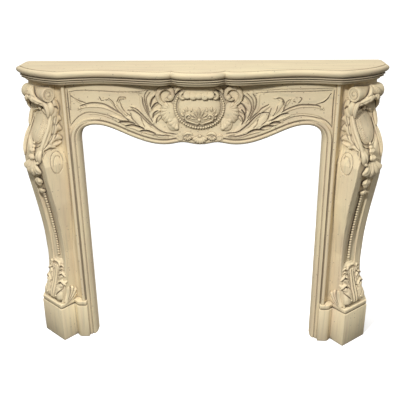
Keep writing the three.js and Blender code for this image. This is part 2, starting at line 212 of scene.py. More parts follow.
def ring_skin(bm, rings):
    """A closed skin over a stack of rings: the first is drawn, and each next is extruded from the last."""
    verts = [bm.verts.new(p) for p in rings[0]]
    edges = [bm.edges.new((a, b)) for a, b in zip(verts, verts[1:] + verts[:1])]
    bmesh.ops.contextual_create(bm, geom=edges)
    for ring in rings[1:]:
        made = bmesh.ops.extrude_edge_only(bm, edges=edges)["geom"]
        fresh = set(only(made, bmesh.types.BMVert))
        edges = only(made, bmesh.types.BMEdge)
        verts = [next(e.other_vert(v) for e in v.link_edges if e.other_vert(v) in fresh) for v in verts]
        for vert, place in zip(verts, ring):
            vert.co = place
    bmesh.ops.contextual_create(bm, geom=edges)


def draw_back(bm, place):
    """Closes an open carving: its rim is drawn back to where place puts each point, and is filled."""
    rim = [edge for edge in bm.edges if edge.is_boundary]
    made = bmesh.ops.extrude_edge_only(bm, edges=rim)["geom"]
    for vert in only(made, bmesh.types.BMVert):
        vert.co = place(vert.co)
    bmesh.ops.contextual_create(bm, geom=only(made, bmesh.types.BMEdge))


def column(bm, plan, low, high, soften=0.0):
    """A plan drawn upwards between two heights, with its edges softened by wear."""
    verts = [bm.verts.new((x, y, low)) for x, y in plan]
    face = bm.faces.new(verts)
    made = bmesh.ops.extrude_face_region(bm, geom=[face])["geom"]
    upper = only(made, bmesh.types.BMVert)
    bmesh.ops.translate(bm, vec=(0, 0, high - low), verts=upper)
    if soften:
        worn = {edge for vert in upper + verts for edge in vert.link_edges if vert.co.y < -1}
        bmesh.ops.bevel(bm, geom=list(worn), offset=soften, offset_type="OFFSET", segments=2, profile=0.5,
                        affect="EDGES", material=-1, clamp_overlap=True)


def miters(points):
    """For each point of an open run, the direction square to it on its right, lengthened at corners."""
    steps = [(b - a).normalized() for a, b in zip(points, points[1:])]
    result = []
    for i in range(len(points)):
        before, after = steps[max(i - 1, 0)], steps[min(i, len(steps) - 1)]
        middle = (before + after).normalized()
        square = Vector((middle.y, -middle.x))
        result.append(square / max(middle.dot(before), 0.6))
    return result


def bezier(points, count=12):
    """A run through chained cubic curves, each given by its end and its two handles."""
    line = [Vector(points[0])]
    for a, b, c, d in zip(points[0::3], points[1::3], points[2::3], points[3::3]):
        for i in range(1, count + 1):
            u = i / count
            v = 1 - u
            place = [v ** 3 * p + 3 * v * v * u * q + 3 * v * u * u * r + u ** 3 * s
                     for p, q, r, s in zip(a, b, c, d)]
            line.append(Vector(place))
    return line


print("mouldings ready")

# %% [markdown]
# ## Limestone
# The stone is a warm cream limestone: fine grain, soft pinkish and yellow clouds, drag marks of the
# scraper along each stone, a few open pits, and painted shade in the recesses. An image could show that, but
# a procedural material has no seams and keeps its scale on every piece. The drag marks are noise that is
# stretched along the stone's length. The painted shade reads the ambient occlusion twice: widely for the
# recesses and closely for the cut lines. On the shelf it starts early, so that the quirks of its edge stay
# dark.

# %% The stone's finish
CREAM = (0.71, 0.585, 0.385, 1)
PINK = (0.62, 0.485, 0.325, 1)
STRAW = (0.77, 0.655, 0.42, 1)
MOSS = (0.56, 0.5, 0.335, 1)
# Umber darkens the chips and is also the colour of the painted shade
UMBER = (0.2, 0.15, 0.115, 1)
DUST = (0.5, 0.42, 0.3, 1)


def limestone(name, drag, pale, shade_start=0.58):
    """Cream limestone. drag squeezes the scraper marks along X, Y and Z, pale lightens the colours, and a
    higher shade_start value lets the painted shade start in shallower recesses."""
    material = bpy.data.materials.new(name)
    material.use_nodes = True
    nodes, links = material.node_tree.nodes, material.node_tree.links

    def add_node(kind, feeds, **settings):
        """A node with its settings; each feed is a socket to link or a value to set."""
        made = nodes.new(kind)
        for key, value in settings.items():
            setattr(made, key, value)
        for socket, value in feeds.items():
            if isinstance(value, bpy.types.NodeSocket):
                links.new(value, made.inputs[socket])
            else:
                made.inputs[socket].default_value = value
        return made.outputs

    place = add_node("ShaderNodeTexCoord", {})["Object"]
    stretched = add_node("ShaderNodeMapping", {"Vector": place, "Scale": drag})["Vector"]

    def cloud(scale, detail, source=place):
        return add_node("ShaderNodeTexNoise", {"Scale": scale, "Detail": detail, "Vector": source})["Fac"]

    def cells(scale):
        return add_node("ShaderNodeTexVoronoi", {"Scale": scale, "Vector": place})

    def openness(reach):
        return add_node("ShaderNodeAmbientOcclusion", {"Distance": reach}, samples=8)["AO"]

    def ramp(source, low, high, start=0, end=1):
        feeds = {"Value": source, "From Min": low, "From Max": high, "To Min": start, "To Max": end}
        return add_node("ShaderNodeMapRange", feeds)["Result"]

    def blend(share, first, second):
        return add_node("ShaderNodeMix", {0: share, 6: first, 7: second}, data_type="RGBA")[2]

    def sums(how, first, second):
        return add_node("ShaderNodeMath", {0: first, 1: second}, operation=how)[0]

    def part(share, source):
        return sums("MULTIPLY", source, share)

    streak = cloud(1.0, 4, stretched)
    grain = cloud(420, 4)
    cream, straw, pink = ([min(c * pale, 1) for c in shade[:3]] + [1] for shade in (CREAM, STRAW, PINK))
    colour = blend(ramp(cloud(4.5, 3), 0.35, 0.68), cream, straw)
    colour = blend(part(0.75, ramp(streak, 0.5, 0.74)), colour, pink)
    colour = blend(part(0.55, ramp(cloud(2.3, 3, stretched), 0.52, 0.7)), colour, MOSS)
    colour = blend(part(0.16, ramp(grain, 0.3, 0.7)), colour, DUST)
    chips = cells(60)
    chipped = sums("MULTIPLY", ramp(chips["Distance"], 0.2, 0.1), ramp(chips["Color"], 0.6, 0.64))
    colour = blend(part(0.6, chipped), colour, UMBER)
    # Painted shade: umber is laid on where the ambient occlusion finds the stone closed in, broadly in
    # recesses and closely along the cut lines
    hollows = part(0.8, ramp(openness(0.022), shade_start, 0.15))
    cut_line_shade = part(0.78, ramp(openness(0.009), 0.8, 0.4))
    colour = blend(sums("MAXIMUM", hollows, cut_line_shade), colour, UMBER)

    open_pit = ramp(cells(95)["Distance"], 0.02, 0.12)
    height = part(0.35, grain)
    for share, layer in ((1.3, streak), (0.35, open_pit), (0.6, cloud(60, 3))):
        height = sums("ADD", height, part(share, layer))
    bump = add_node("ShaderNodeBump", {"Strength": 0.35, "Distance": 0.0016, "Height": height})
    shader = nodes["Principled BSDF"].inputs
    shader["Specular IOR Level"].default_value = 0.25
    links.new(colour, shader["Base Color"])
    links.new(ramp(grain, 0, 1, 0.72, 0.95), shader["Roughness"])
    links.new(bump["Normal"], shader["Normal"])
    return material


# On the shelf the painted shade starts in shallow recesses, so its mouldings and underside are painted darker
shelf_stone = limestone("shelf_limestone", (2.2, 34, 60), 0.98, 0.92)
frieze_stone = limestone("frieze_limestone", (3.5, 40, 24), 1.02)
jamb_stone = limestone("jamb_limestone", (46, 46, 2.4), 1.08)
print("three cuts of limestone")

# %% [markdown]
# ## From carving to piece
# A finished carving is closed, its faces point outwards and its place is in its mesh. It could be
# shaded flat, but the leaves would show their facets, so it is shaded smooth, with its sharp arrises kept.

# %% Finish a stone
ARRIS = math.radians(38)


def set_stone(name, node, bm, material):
    """Turns a carving in millimetres into a piece that stands for a node of the frame."""
    bmesh.ops.recalc_face_normals(bm, faces=bm.faces)
    bmesh.ops.scale(bm, vec=(MM, MM, MM), verts=bm.verts)
    bmesh.ops.translate(bm, vec=(0, WALL_Y, 0), verts=bm.verts)
    mesh = bpy.data.meshes.new(name)
    bm.to_mesh(mesh)
    bm.free()
    mesh.shade_smooth()
    mesh.set_sharp_from_angle(angle=ARRIS)
    mesh.materials.append(material)
    piece = bpy.data.objects.new(name, mesh)
    bpy.context.scene.collection.objects.link(piece)
    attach(piece, "root")
    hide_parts(node)
    mesh.calc_loop_triangles()
    print(name, len(mesh.loop_triangles), "triangles")


print("stones are set with arrises sharper than", round(math.degrees(ARRIS)), "degrees")

# %% [markdown]
# ## The shelf
# The shelf is one slab with a serpentine front: a lobe in the middle, a cusp and a swell on each side, a
# recess, and a corner from which a shallow bow runs back to the tip. Its edge has a fine groove on top, a
# fat nosing, two thin fillets between deep quirks, and a cove. The front could be modelled by hand, but
# chained curves draw the plan with few points, and the edge is then carried down the profile.

# %% The shelf's plan and edge
SHELF_PLAN = [
    (0, -DEPTH), (48, -DEPTH), (84, -274), (102, -252), (116, -264), (140, -268), (168, -264),
    (240, -252), (310, -222), (384, -222), (440, -222), (480, -236), (531, -250),
    (622, -225), (688, -179), (SHELF_TIP, -112), (SHELF_TIP, -75), (SHELF_TIP, -37), (SHELF_TIP, 0),
]
# Each step of the edge: how far it is cut back, and its depth below the top
SHELF_EDGE = [
    (17, 0), (16.4, 3), (14, 3.4), (12.4, 1.8), (9.5, 1.9), (5.5, 3), (2.4, 5.4), (0.6, 9), (0, 12),
    (1, 16.5), (3.4, 20.5), (6.8, 24), (10.5, 26.5), (20, 27.4), (20, 31), (11.6, 31.6), (11, 33),
    (11.6, 34.8), (24, 35.6), (24, 39.8), (16.6, 40.4), (16, 41.8), (16.6, 43.4), (27, 44.2), (28, 48),
    (30, 52), (33, 55.4), (36.5, TOP - UNDER),
]


def carve_shelf():
    bm = bmesh.new()
    half = bezier(SHELF_PLAN)
    plan = [Vector((-p.x, p.y)) for p in half[:0:-1]] + half
    squares = miters(plan)
    rings = []
    for cut, drop in SHELF_EDGE:
        ring = []
        for point, square in zip(plan, squares):
            y = 0 if point.y == 0 else point.y - square.y * cut
            ring.append((point.x - square.x * cut, y, TOP - drop))
        rings.append(ring)
    ring_skin(bm, rings)
    return bm


set_stone("carved_shelf", "mantel_shelf", carve_shelf(), shelf_stone)

# %% [markdown]
# ## The frieze
# The frieze is a slab whose lower edge is a serpentine arch with a fat roll. The profile stands higher by
# the jambs, where it meets their mouldings, and sinks nearly flush along the arch. The roll could be a bar
# set on the slab, but the stone is one, so slab and moulding are one skin of rings.

# %% The arched slab
SEAT, REVEAL = 926, 489
JOINT = 0.3
GROUND, BED = 160, 144
BACK = 108
ARCH = [
    (REVEAL, SEAT + JOINT), (REVEAL, 968), (466, 991), (420, 991), (362, 991), (312, 953), (239, 928),
    (205, 916), (176, 910), (143, 910), (112, 910), (92, 919), (70, 919), (48, 919), (30, 910), (0, 910),
]
# Each step of the moulding: how far it is cut back, and how far it stands out, on the arch and by the jambs
ARCH_EDGE = [
    (0, BACK, BACK), (0, 138, 138), (1, 147, 145), (3.5, 154, 153), (7, 159.5, 159.5), (11, 162.5, 163),
    (14, 163.5, 162.5), (16, 163.3, 159.5), (18, 162, 160), (20, 158, 166.5), (21.5, 153, 168),
    (23, 152.5, 168), (24.5, 157, 168), (27, 160.4, 168), (30.5, 161.2, 168), (33, 160.8, 162.5),
    (35, 160, 159.5), (37, 159.6, 160), (37.4, BED, BED),
]


def step_up(value, low, high):
    """Nothing below low, one above high, and a ramp between."""
    return max(0, min(1, (value - low) / (high - low)))


def whole_arch():
    """The arch from the left reveal over the middle to the right one."""
    half = bezier(ARCH)
    return [Vector((-p.x, p.y)) for p in half[:-1]] + half[::-1]


def arched_slab(bm):
    """The slab with its moulded arch; the profile has one height for the arch and one for the jambs."""
    arch = whole_arch()
    squares = [-square for square in miters(arch)]
    squares[0], squares[-1] = Vector((-1, 0)), Vector((1, 0))
    low = SEAT + JOINT
    corners = [(FRIEZE_END, low), (FRIEZE_END, STONE_TOP), (-FRIEZE_END, STONE_TOP), (-FRIEZE_END, low)]
    rings = []
    for cut, on_arch, by_jamb in ARCH_EDGE:
        edge = min(on_arch, BED)
        ring = []
        for point, square in zip(arch, squares):
            near_jamb = step_up(abs(point.x), 400, 478)
            out = on_arch + (by_jamb - on_arch) * near_jamb
            ring.append((point.x + square.x * cut, -out, point.y + square.y * cut))
        rings.append(ring + [(x, -edge, z) for x, z in corners])
    ring_skin(bm, rings)
    bmesh.ops.remove_doubles(bm, verts=bm.verts, dist=0.01)


frieze_bm = bmesh.new()
add_carving(frieze_bm, arched_slab, waver=0)
print("slab arched,", len(frieze_bm.faces), "faces")

# %% [markdown]
# ## The carved ground
# The sprays are hardly raised at all. The carver cushioned each leaf by a few millimetres and then drew it
# with strokes of a V-tool, which read as dark lines. Grooves could be bump in the material, but real ones
# throw shade, and a Boolean with sixty tools is fragile. So the ground is a fine grid, and every vertex
# goes forward with the leaves and back with the strokes. The two halves were cut by hand and differ a
# little. The ground is a piece of its own, so that it and the ornament on it both stay light.

# %% Leaves and strokes of the sprays
# A leaf is its half width, its rise and its spine, and a stroke is its half width, its depth and its line
LEAVES = [
    (5, 4, [(472, 1062), (447, 1069), (418, 1070), (392, 1069), (368, 1063), (345, 1054), (300, 1031),
            (240, 1001), (180, 974), (104, 950)]),
    (10, 4.5, [(112, 953), (170, 978), (210, 1018), (242, 1052), (272, 1072)]),
    (12, 3.5, [(196, 976), (240, 1004), (262, 1034), (276, 1058)]),
    (7, 5, [(352, 1034), (300, 1013), (250, 997), (170, 966)]),
    (6.5, 6, [(326, 1008), (300, 1000), (256, 987), (214, 977), (140, 953)]),
    (6.5, 6, [(298, 992), (250, 979), (200, 964), (120, 945)]),
    (6.5, 6, [(254, 976), (206, 964), (160, 952), (98, 941)]),
    (6, 5, [(205, 962), (160, 948), (120, 940), (96, 938)]),
    (19, 5, [(140, 960), (186, 1008), (206, 1060), (204, 1128)]),
    (8, 3.5, [(190, 1000), (222, 1060), (232, 1118)]),
    (9, 7, [(190, 1000), (172, 1016), (154, 1030)]),
    (9, 7, [(195, 1022), (180, 1044), (154, 1058)]),
    (9, 7, [(200, 1046), (184, 1074), (152, 1092)]),
    (9, 7, [(206, 1068), (192, 1102), (164, 1128)]),
    (8, 4.5, [(288, 1036), (308, 1062), (319, 1088), (306, 1104), (290, 1103)]),
    (5.5, 4, [(318, 1046), (334, 1074), (354, 1100)]),
    (4, 3.5, [(300, 1030), (298, 1056), (306, 1076)]),
    (3, 3, [(448, 1074), (472, 1087), (490, 1099), (505, 1115)]),
]
RIGHT_STROKES = [
    (3.2, 5.5, [(471, 1067), (461, 1073), (447, 1075), (418, 1076), (392, 1075), (368, 1069), (345, 1060),
                (324, 1049)]),
    (3.8, 6.5, [(348, 1043), (328, 1040), (312, 1033), (298, 1023), (282, 1014)]),
    (5.5, 12, [(322, 1003), (297, 1006), (276, 999)]),
    (5.5, 12, [(300, 989), (267, 990), (238, 981)]),
    (5.5, 11, [(255, 975), (219, 974), (190, 964)]),
    (3.2, 6, [(206, 967), (191, 961), (164, 952), (138, 948), (112, 949)]),
    (3.4, 6, [(272, 1045), (249, 1046), (234, 1040), (219, 1028), (205, 1013), (190, 997), (171, 980),
              (153, 968), (130, 963), (107, 961)]),
    (3.0, 5, [(271, 1078), (256, 1069), (241, 1059), (230, 1046), (214, 1034), (197, 1015)]),
    (2.6, 4, [(207, 1121), (221, 1097), (220, 1069), (209, 1042), (198, 1018)]),
    (2.8, 4.5, [(169, 1118), (190, 1101), (203, 1076), (201, 1050), (189, 1024)]),
    (2.4, 3.5, [(184, 1122), (207, 1098), (211, 1062), (200, 1030), (182, 1006)]),
    (3.2, 7, [(155, 1088), (170, 1077), (180, 1061), (182, 1042)]),
    (3.4, 8, [(165, 1058), (177, 1040), (178, 1019), (166, 998)]),
    (3.0, 6, [(158, 1034), (168, 1022), (172, 1004)]),
    (2.4, 3.5, [(280, 1063), (272, 1035), (265, 1015), (244, 996)]),
    (2.4, 3, [(230, 1018), (225, 997), (212, 983)]),
    (2.8, 5, [(298, 1101), (311, 1103), (323, 1096), (331, 1083)]),
    (2.6, 4.5, [(351, 1098), (338, 1084), (333, 1069), (328, 1054)]),
    (2.2, 3, [(304, 1073), (301, 1054), (288, 1032)]),
    (2.2, 3, [(321, 1091), (329, 1076), (327, 1057)]),
    (2.2, 3.5, [(389, 1106), (397, 1099), (391, 1089), (383, 1082)]),
    (2.2, 3, [(364, 1091), (374, 1085)]),
    (2.6, 4.5, [(507, 1120), (496, 1102), (483, 1089), (465, 1082), (452, 1078)]),
    (2.0, 2.6, [(219, 1121), (243, 1124), (316, 1127), (400, 1128), (462, 1130), (511, 1133)]),
    (1.9, 2, [(214, 1130), (316, 1136), (420, 1138), (516, 1141)]),
    (2.2, 4, [(518, 1134), (518, 1080), (518, 1030), (519, 990)]),
    (2.2, 3, [(518, 988), (506, 1004), (488, 1016), (457, 1025), (424, 1031), (394, 1032), (357, 1025),
              (326, 1011)]),
    (1.9, 1.6, [(499, 1012), (465, 1030), (427, 1038), (390, 1040), (356, 1036)]),
]
LEFT_STROKES = [
    (3.2, 5.5, [(473, 1072), (452, 1079), (426, 1084), (399, 1083), (373, 1077), (351, 1065), (331, 1052),
                (311, 1040), (293, 1023), (282, 1013)]),
    (2.6, 4.5, [(506, 1114), (493, 1102), (475, 1092), (450, 1085)]),
    (5.5, 12, [(328, 1002), (301, 1008), (258, 1001)]),
    (5.5, 12, [(294, 992), (264, 992), (222, 980)]),
    (5.0, 10, [(238, 971), (213, 971), (177, 960)]),
    (3.2, 6, [(190, 955), (158, 953), (131, 949), (100, 942)]),
    (3.4, 6, [(271, 1068), (252, 1062), (237, 1049), (220, 1030), (202, 1010), (183, 991), (157, 971),
              (131, 962), (96, 957)]),
    (3.0, 5, [(284, 1055), (264, 1054), (245, 1043), (227, 1026), (209, 1006), (191, 992)]),
    (2.4, 3.5, [(272, 1044), (269, 1024), (255, 1006), (238, 991)]),
    (2.4, 3, [(233, 1026), (228, 1007), (219, 989)]),
    (2.8, 5, [(325, 1088), (316, 1103), (303, 1107), (288, 1105)]),
    (2.2, 3, [(318, 1086), (310, 1098), (296, 1100)]),
    (2.4, 3.5, [(312, 1086), (305, 1065), (291, 1044), (274, 1032)]),
    (2.8, 5, [(357, 1103), (341, 1087), (331, 1065), (314, 1041)]),
    (2.2, 3.5, [(394, 1109), (387, 1094), (379, 1094)]),
    (2.2, 3, [(371, 1096), (358, 1096)]),
    (2.6, 4.5, [(202, 1134), (215, 1111), (213, 1084), (206, 1057), (199, 1034), (186, 1008)]),
    (2.6, 4, [(224, 1107), (221, 1080), (211, 1050), (194, 1020)]),
    (2.4, 3.5, [(192, 1127), (207, 1103), (205, 1077), (197, 1048)]),
    (3.2, 7, [(166, 1116), (182, 1103), (190, 1087), (193, 1069)]),
    (3.4, 8, [(154, 1087), (172, 1082), (190, 1062)]),
    (3.2, 7, [(163, 1055), (179, 1044), (185, 1024)]),
    (3.0, 6, [(158, 1034), (168, 1022), (172, 1004)]),
    (2.0, 2.6, [(513, 1128), (471, 1134), (395, 1132), (313, 1127), (237, 1129), (208, 1134)]),
    (1.9, 2, [(303, 1126), (260, 1124), (220, 1122)]),
    (2.2, 4, [(519, 1138), (519, 1081), (519, 1038), (519, 1000)]),
    (1.9, 2, [(508, 1126), (510, 1088), (512, 1055)]),
    (2.2, 3, [(518, 994), (508, 1004), (496, 1018), (472, 1036), (444, 1046), (410, 1044), (372, 1036),
              (342, 1026), (310, 1013)]),
    (1.9, 1.6, [(440, 1036), (400, 1034), (360, 1022), (328, 1008)]),
]
print(len(LEAVES), "leaves a side; strokes:", len(RIGHT_STROKES), "right,", len(LEFT_STROKES), "left")

# %% The carved ground
def on_frieze(x, z, lift=0.0):
    return Vector((x, -GROUND - lift, z))


STROKE_WIDTH, STROKE_DEPTH = 1.5, 1.6


def nearness(points, half_width, x, z):
    """Along a tapering stroke: one on its middle line, nothing from its edge on."""
    line = smooth_line([(a, b, 0) for a, b in points], 25)
    across, along = [p.x for p in line], [p.y for p in line]
    close = np.flatnonzero((x > min(across) - half_width) & (x < max(across) + half_width)
                           & (z > min(along) - half_width) & (z < max(along) + half_width))
    near_x, near_z, best = x[close], z[close], np.zeros(len(close))
    for i, (a, b) in enumerate(zip(line, line[1:])):
        run, rise = b.x - a.x, b.y - a.y
        share = np.clip(((near_x - a.x) * run + (near_z - a.y) * rise) / (run * run + rise * rise), 0, 1)
        away = np.hypot(near_x - a.x - share * run, near_z - a.y - share * rise)
        width = half_width * (0.3 + 0.7 * np.sin(np.pi * (i + share) / 24) ** 0.6)
        best = np.maximum(best, 1 - away / width)
    result = np.zeros_like(x)
    result[close] = best
    return result


def relief(x, z, leaves, strokes, deepest):
    """How far a carved ground stands forward at each place: cushioned leaves, less the rounded strokes."""
    forward = np.zeros_like(x)
    for half_width, rise, points in leaves:
        near = nearness(points, half_width, x, z)
        forward = np.maximum(forward, rise * np.sqrt(1 - (1 - near) ** 2))
    back = np.zeros_like(x)
    for half_width, deep, points in strokes:
        near = nearness(points, STROKE_WIDTH * half_width, x, z)
        back = np.maximum(back, STROKE_DEPTH * deep * near * near * (3 - 2 * near))
    return np.maximum(forward - back, deepest)


def carving_grid(bm, columns, rows):
    """A fine grid to carve: its points, and how far across and up each of them lies, from nothing to one."""
    made = bmesh.ops.create_grid(bm, x_segments=columns, y_segments=rows, size=1)["verts"]
    at = np.array([(vert.co.x, vert.co.y) for vert in made])
    return made, (at[:, 0] + 1) / 2, (at[:, 1] + 1) / 2


COVERED = 96
COLUMNS = np.concatenate([np.arange(0, COVERED, 8), np.linspace(COVERED, FRIEZE_END - 0.3, 290)])
COLUMNS = np.concatenate([-COLUMNS[:0:-1], COLUMNS])
ROWS = 124
TUCKED = 34


def carve_ground(bm):
    """The carved face from the arch's moulding up to the shelf, with coarse columns where it is covered."""
    arch = whole_arch()
    lower = [point - square * TUCKED for point, square in zip(arch, miters(arch))]
    foot = np.interp(COLUMNS, [p.x for p in lower], [p.y for p in lower])
    foot[np.abs(COLUMNS) > REVEAL + TUCKED - 0.5] = SEAT + JOINT
    made, over, up = carving_grid(bm, len(COLUMNS) - 1, ROWS)
    column_at = np.rint(over * (len(COLUMNS) - 1)).astype(int)
    x = COLUMNS[column_at]
    z = foot[column_at] + (STONE_TOP - foot[column_at]) * up
    lift = np.zeros_like(x)
    for here, side, strokes in ((x > 0, 1, RIGHT_STROKES), (x < 0, -1, LEFT_STROKES)):
        lift[here] = relief(side * x[here], z[here], LEAVES, strokes, BED + 2 - GROUND)
    for vert, across, height, proud in zip(made, x, z, lift):
        vert.co = on_frieze(across, height, proud)
    draw_back(bm, lambda co: Vector((co.x, 2 - BED, co.z)))


ground_bm = bmesh.new()
add_carving(ground_bm, carve_ground, waver=0.3)
set_stone("carved_ground", "frieze", ground_bm, frieze_stone)

# %% Buds and rosettes
# Place and radius of each bud
SPRAY_BUDS = [(476, 1064, 6), (482, 1058, 4), (470, 1057, 3), (378, 1106, 3), (366, 1100, 3)]


def carve_spray(bm, side):
    for x, z, radius in SPRAY_BUDS:
        bead(bm, on_frieze(side * x, z), radius)
    rosette = on_frieze(side * 79, 943)
    boss(bm, rosette, RIGHT, RISE, FRONT, (15, 15, 7), 24, 12)
    curl = spiral(lambda u, v: on_frieze(side * (79 + u), 943 + v, 6), 0.6, 9.4, 12.5, 2.5)
    cord(bm, curl, 2.1, rings=40)


for side in (1, -1):
    add_carving(frieze_bm, carve_spray, side)
print("sprays carved")

# %% [markdown]
# ## Scrolls and shells
# On each side of the cartouche stands a C-scroll: a strap that climbs the outside, rolls over the top and
# closes round a ball. Below it hangs a shell: a cushion with ribs fanned to its edge like a cockle's, over a
# smaller ruffled lobe. Each could be sculpted, but drawn-out balls keep the ribs crisp with few faces.

# %% Scrolls beside the cartouche
SCROLL_X, SCROLL_Z = 126, 1116


def carve_scroll(bm, side):
    def place(u, v):
        return on_frieze(side * (SCROLL_X - u), SCROLL_Z + v, 7)

    tail = [on_frieze(side * x, z, 3) for x, z in ((124, 1058), (138, 1076), (156, 1094))]
    strap = tail + spiral(place, math.pi * 1.02, -math.pi * 1.72, 36, 15, 20)
    leaf(bm, strap, 10, 14, broad=0.5, blunt=0.3, rib=-0.25, sides=14, rings=64)
    edge = [point + FRONT * 9 for point in strap[3:]]
    cord(bm, edge, 2.4, rings=48)
    bead(bm, on_frieze(side * 112, 1109, 9), 12)
    boss(bm, on_frieze(side * 122, 1046), RIGHT, RISE, FRONT, (32, 44, 15), 32, 18)
    hub = on_frieze(side * 112, 1062, 12)
    for i in range(6):
        turn = math.radians(62 - 25 * i)
        tip = on_frieze(side * (121 + 35 * math.cos(turn)), 1046 + 46 * math.sin(turn), 3)
        leaf(bm, [hub, hub.lerp(tip, 0.6) + FRONT * 5, tip], 7.5, 4.5, broad=0.74, blunt=0.45)
    for i, (x, z, size) in enumerate(((131, 1012, 15), (124, 996, 15), (110, 982, 15), (93, 974, 12))):
        tip = on_frieze(side * x, z, 3)
        root = on_frieze(side * (98 - 3 * i), 1024 - 6 * i, 6)
        leaf(bm, [root, root.lerp(tip, 0.6) + FRONT * 5, tip], size * 0.75, 7, broad=0.7, blunt=0.45)
    boss(bm, on_frieze(side * 106, 1004), RIGHT, RISE, FRONT, (25, 34, 12), 24, 14)


for side in (1, -1):
    add_carving(frieze_bm, carve_scroll, side)
print("scrolls carved")

# %% [markdown]
# ## The cartouche
# The oval cartouche is a cushioned field in a rim of beads. A palmette with two small scrolls lies low on
# the field, a ruffled crest curls over the top, and three shells close the arch below. The beads could be
# set one by one, but a loop round the ellipse keeps them about a bead's width apart.

# %% Field, bead rim and palmette
FIELD_Z = 1070
RIM_WIDE, RIM_TALL = 95, 82
FIELD_WIDE, FIELD_TALL, FIELD_LIFT, FIELD_RISE = 84, 71, 8, 24
RIM_BEADS, RIM_BEAD = 58, 4.9


def on_field(x, z, lift=0.0):
    """A place on the cushioned field."""
    full = 1 - (x / FIELD_WIDE) ** 2 - ((z - FIELD_Z) / FIELD_TALL) ** 2
    return on_frieze(x, z, FIELD_LIFT + FIELD_RISE * math.sqrt(max(full, 0)) + lift)


def carve_cartouche(bm):
    centre = on_frieze(0, FIELD_Z)
    boss(bm, centre, RIGHT, RISE, FRONT, (RIM_WIDE + 13, RIM_TALL + 13, 13), 64, 16)
    boss(bm, centre + FRONT * FIELD_LIFT, RIGHT, RISE, FRONT, (FIELD_WIDE, FIELD_TALL, FIELD_RISE), 64, 24)
    for i in range(RIM_BEADS):
        turn = 2 * math.pi * i / RIM_BEADS
        bead(bm, on_frieze(RIM_WIDE * math.cos(turn), FIELD_Z + RIM_TALL * math.sin(turn), 14), RIM_BEAD)
    for grow, lift in ((-7.5, 7), (8, 5)):
        ring = spiral(lambda u, v: on_frieze(u * (RIM_WIDE + grow), FIELD_Z + v * (RIM_TALL + grow), lift),
                      0, 2 * math.pi, 1, 1, 64)
        cord(bm, ring, 1.8, rings=96, blunt=0.05)


PALMETTE_LEAVES = [
    ((57, 1036), (72, 1050)), ((54, 1049), (65, 1067)), ((45, 1054), (50, 1078)), ((33, 1054), (28, 1074)),
    ((56, 1025), (66, 1032)), ((48, 1016), (55, 1019)),
]


def carve_palmette(bm):
    for fan_turn in (-1.3, -0.86, -0.42, 0, 0.42, 0.86, 1.3):
        reach = 52 - 12 * abs(fan_turn)
        line = [on_field(math.sin(fan_turn) * reach * s, 1024 + math.cos(fan_turn) * reach * s, 0)
                for s in (0.1, 0.55, 1)]
        leaf(bm, line, 5, 8, broad=0.68, blunt=0.6, rib=-0.35)
    boss(bm, on_field(0, 1024), RIGHT, RISE, FRONT, (7, 7, 9), 16, 10)
    cord(bm, [on_field(0, 1003), on_field(0, 1012), on_field(0, 1024)], 4)
    for side in (1, -1):
        curl = spiral(lambda u, v: on_field(side * (40 - u), 1034 + v, 0), -1.9, -5.4, 17, 3, 18)
        leaf(bm, [on_field(side * 3, 1004), on_field(side * 20, 1009)] + curl, 4.4, 8, blunt=0.3, rings=48)
        bead(bm, on_field(side * 40, 1034, 3), 5)
        for (root_x, root_z), (tip_x, tip_z) in PALMETTE_LEAVES:
            root, tip = on_field(side * root_x, root_z), on_field(side * tip_x, tip_z)
            leaf(bm, [root, (root + tip) / 2 + FRONT * 2, tip], 4.6, 6.5, rib=-0.3)
        foot = [on_field(side * x, z) for x, z in ((3, 1010), (12, 1001), (24, 1000))]
        leaf(bm, foot, 5, 6)


add_carving(frieze_bm, carve_cartouche)
add_carving(frieze_bm, carve_palmette)
print("cartouche carved,", RIM_BEADS, "beads")

# %% Crest and pendant shells
CREST_BODY = [(-74, 1134, 6), (-40, 1136, 22), (0, 1137, 27), (40, 1136, 22), (74, 1134, 6)]
# Middle, half width and lowest point of each lobe
CREST_LOBES = [(-44, 15, 1111), (-22, 14, 1107), (0, 14, 1110), (22, 14, 1106), (44, 15, 1111)]


def carve_crest(bm):
    body = [on_frieze(*place) for place in CREST_BODY]
    leaf(bm, body, 21, 15, blunt=0.25, sides=18, rings=40)
    for x, wide, low in CREST_LOBES:
        lobe = [on_frieze(x * 0.95, 1140, 30), on_frieze(x, 1126, 40), on_frieze(x * 1.02, low, 45)]
        leaf(bm, lobe, wide, 6, broad=0.62, blunt=0.4, sides=16, rings=20)
    for side in (1, -1):
        curl = spiral(lambda u, v: on_frieze(side * (60 + u), 1117 + v, 24), 1.9, -5.6, 15, 4, 20)
        leaf(bm, curl, 7.5, 15, blunt=0.3, rings=40)
        bead(bm, on_frieze(side * 60, 1117, 31), 6.5)
        arm = [on_frieze(side * x, z, 16) for x, z in ((50, 1146), (68, 1147), (84, 1140), (93, 1124))]
        leaf(bm, arm, 7, 11, blunt=0.45, rings=24)


# Middle, reach and ribs of each shell
PENDANTS = [(0, 30, 7), (49, 17, 5), (-49, 17, 5)]


def carve_pendant(bm):
    for x, reach, ribs in PENDANTS:
        for i in range(ribs):
            turn = (i / (ribs - 1) - 0.5) * 2.2
            top = on_frieze(x + math.sin(turn) * reach * 0.15, 953 - math.cos(turn) * reach * 0.1, 3)
            foot = on_frieze(x + math.sin(turn) * reach * 1.1, 948 - math.cos(turn) * reach, 5)
            leaf(bm, [top, (top + foot) / 2 + FRONT * 5, foot], reach * 0.21, 6, broad=0.7, blunt=0.5)
        bead(bm, on_frieze(x, 952, 6), reach * 0.2)
    for side in (1, -1):
        ruffle = [on_frieze(side * x, z, 2) for x, z in ((26, 953), (38, 961), (54, 961), (66, 951))]
        leaf(bm, ruffle, 6, 5, rings=30)


add_carving(frieze_bm, carve_crest)
add_carving(frieze_bm, carve_pendant)
set_stone("carved_frieze", "frieze", frieze_bm, frieze_stone)

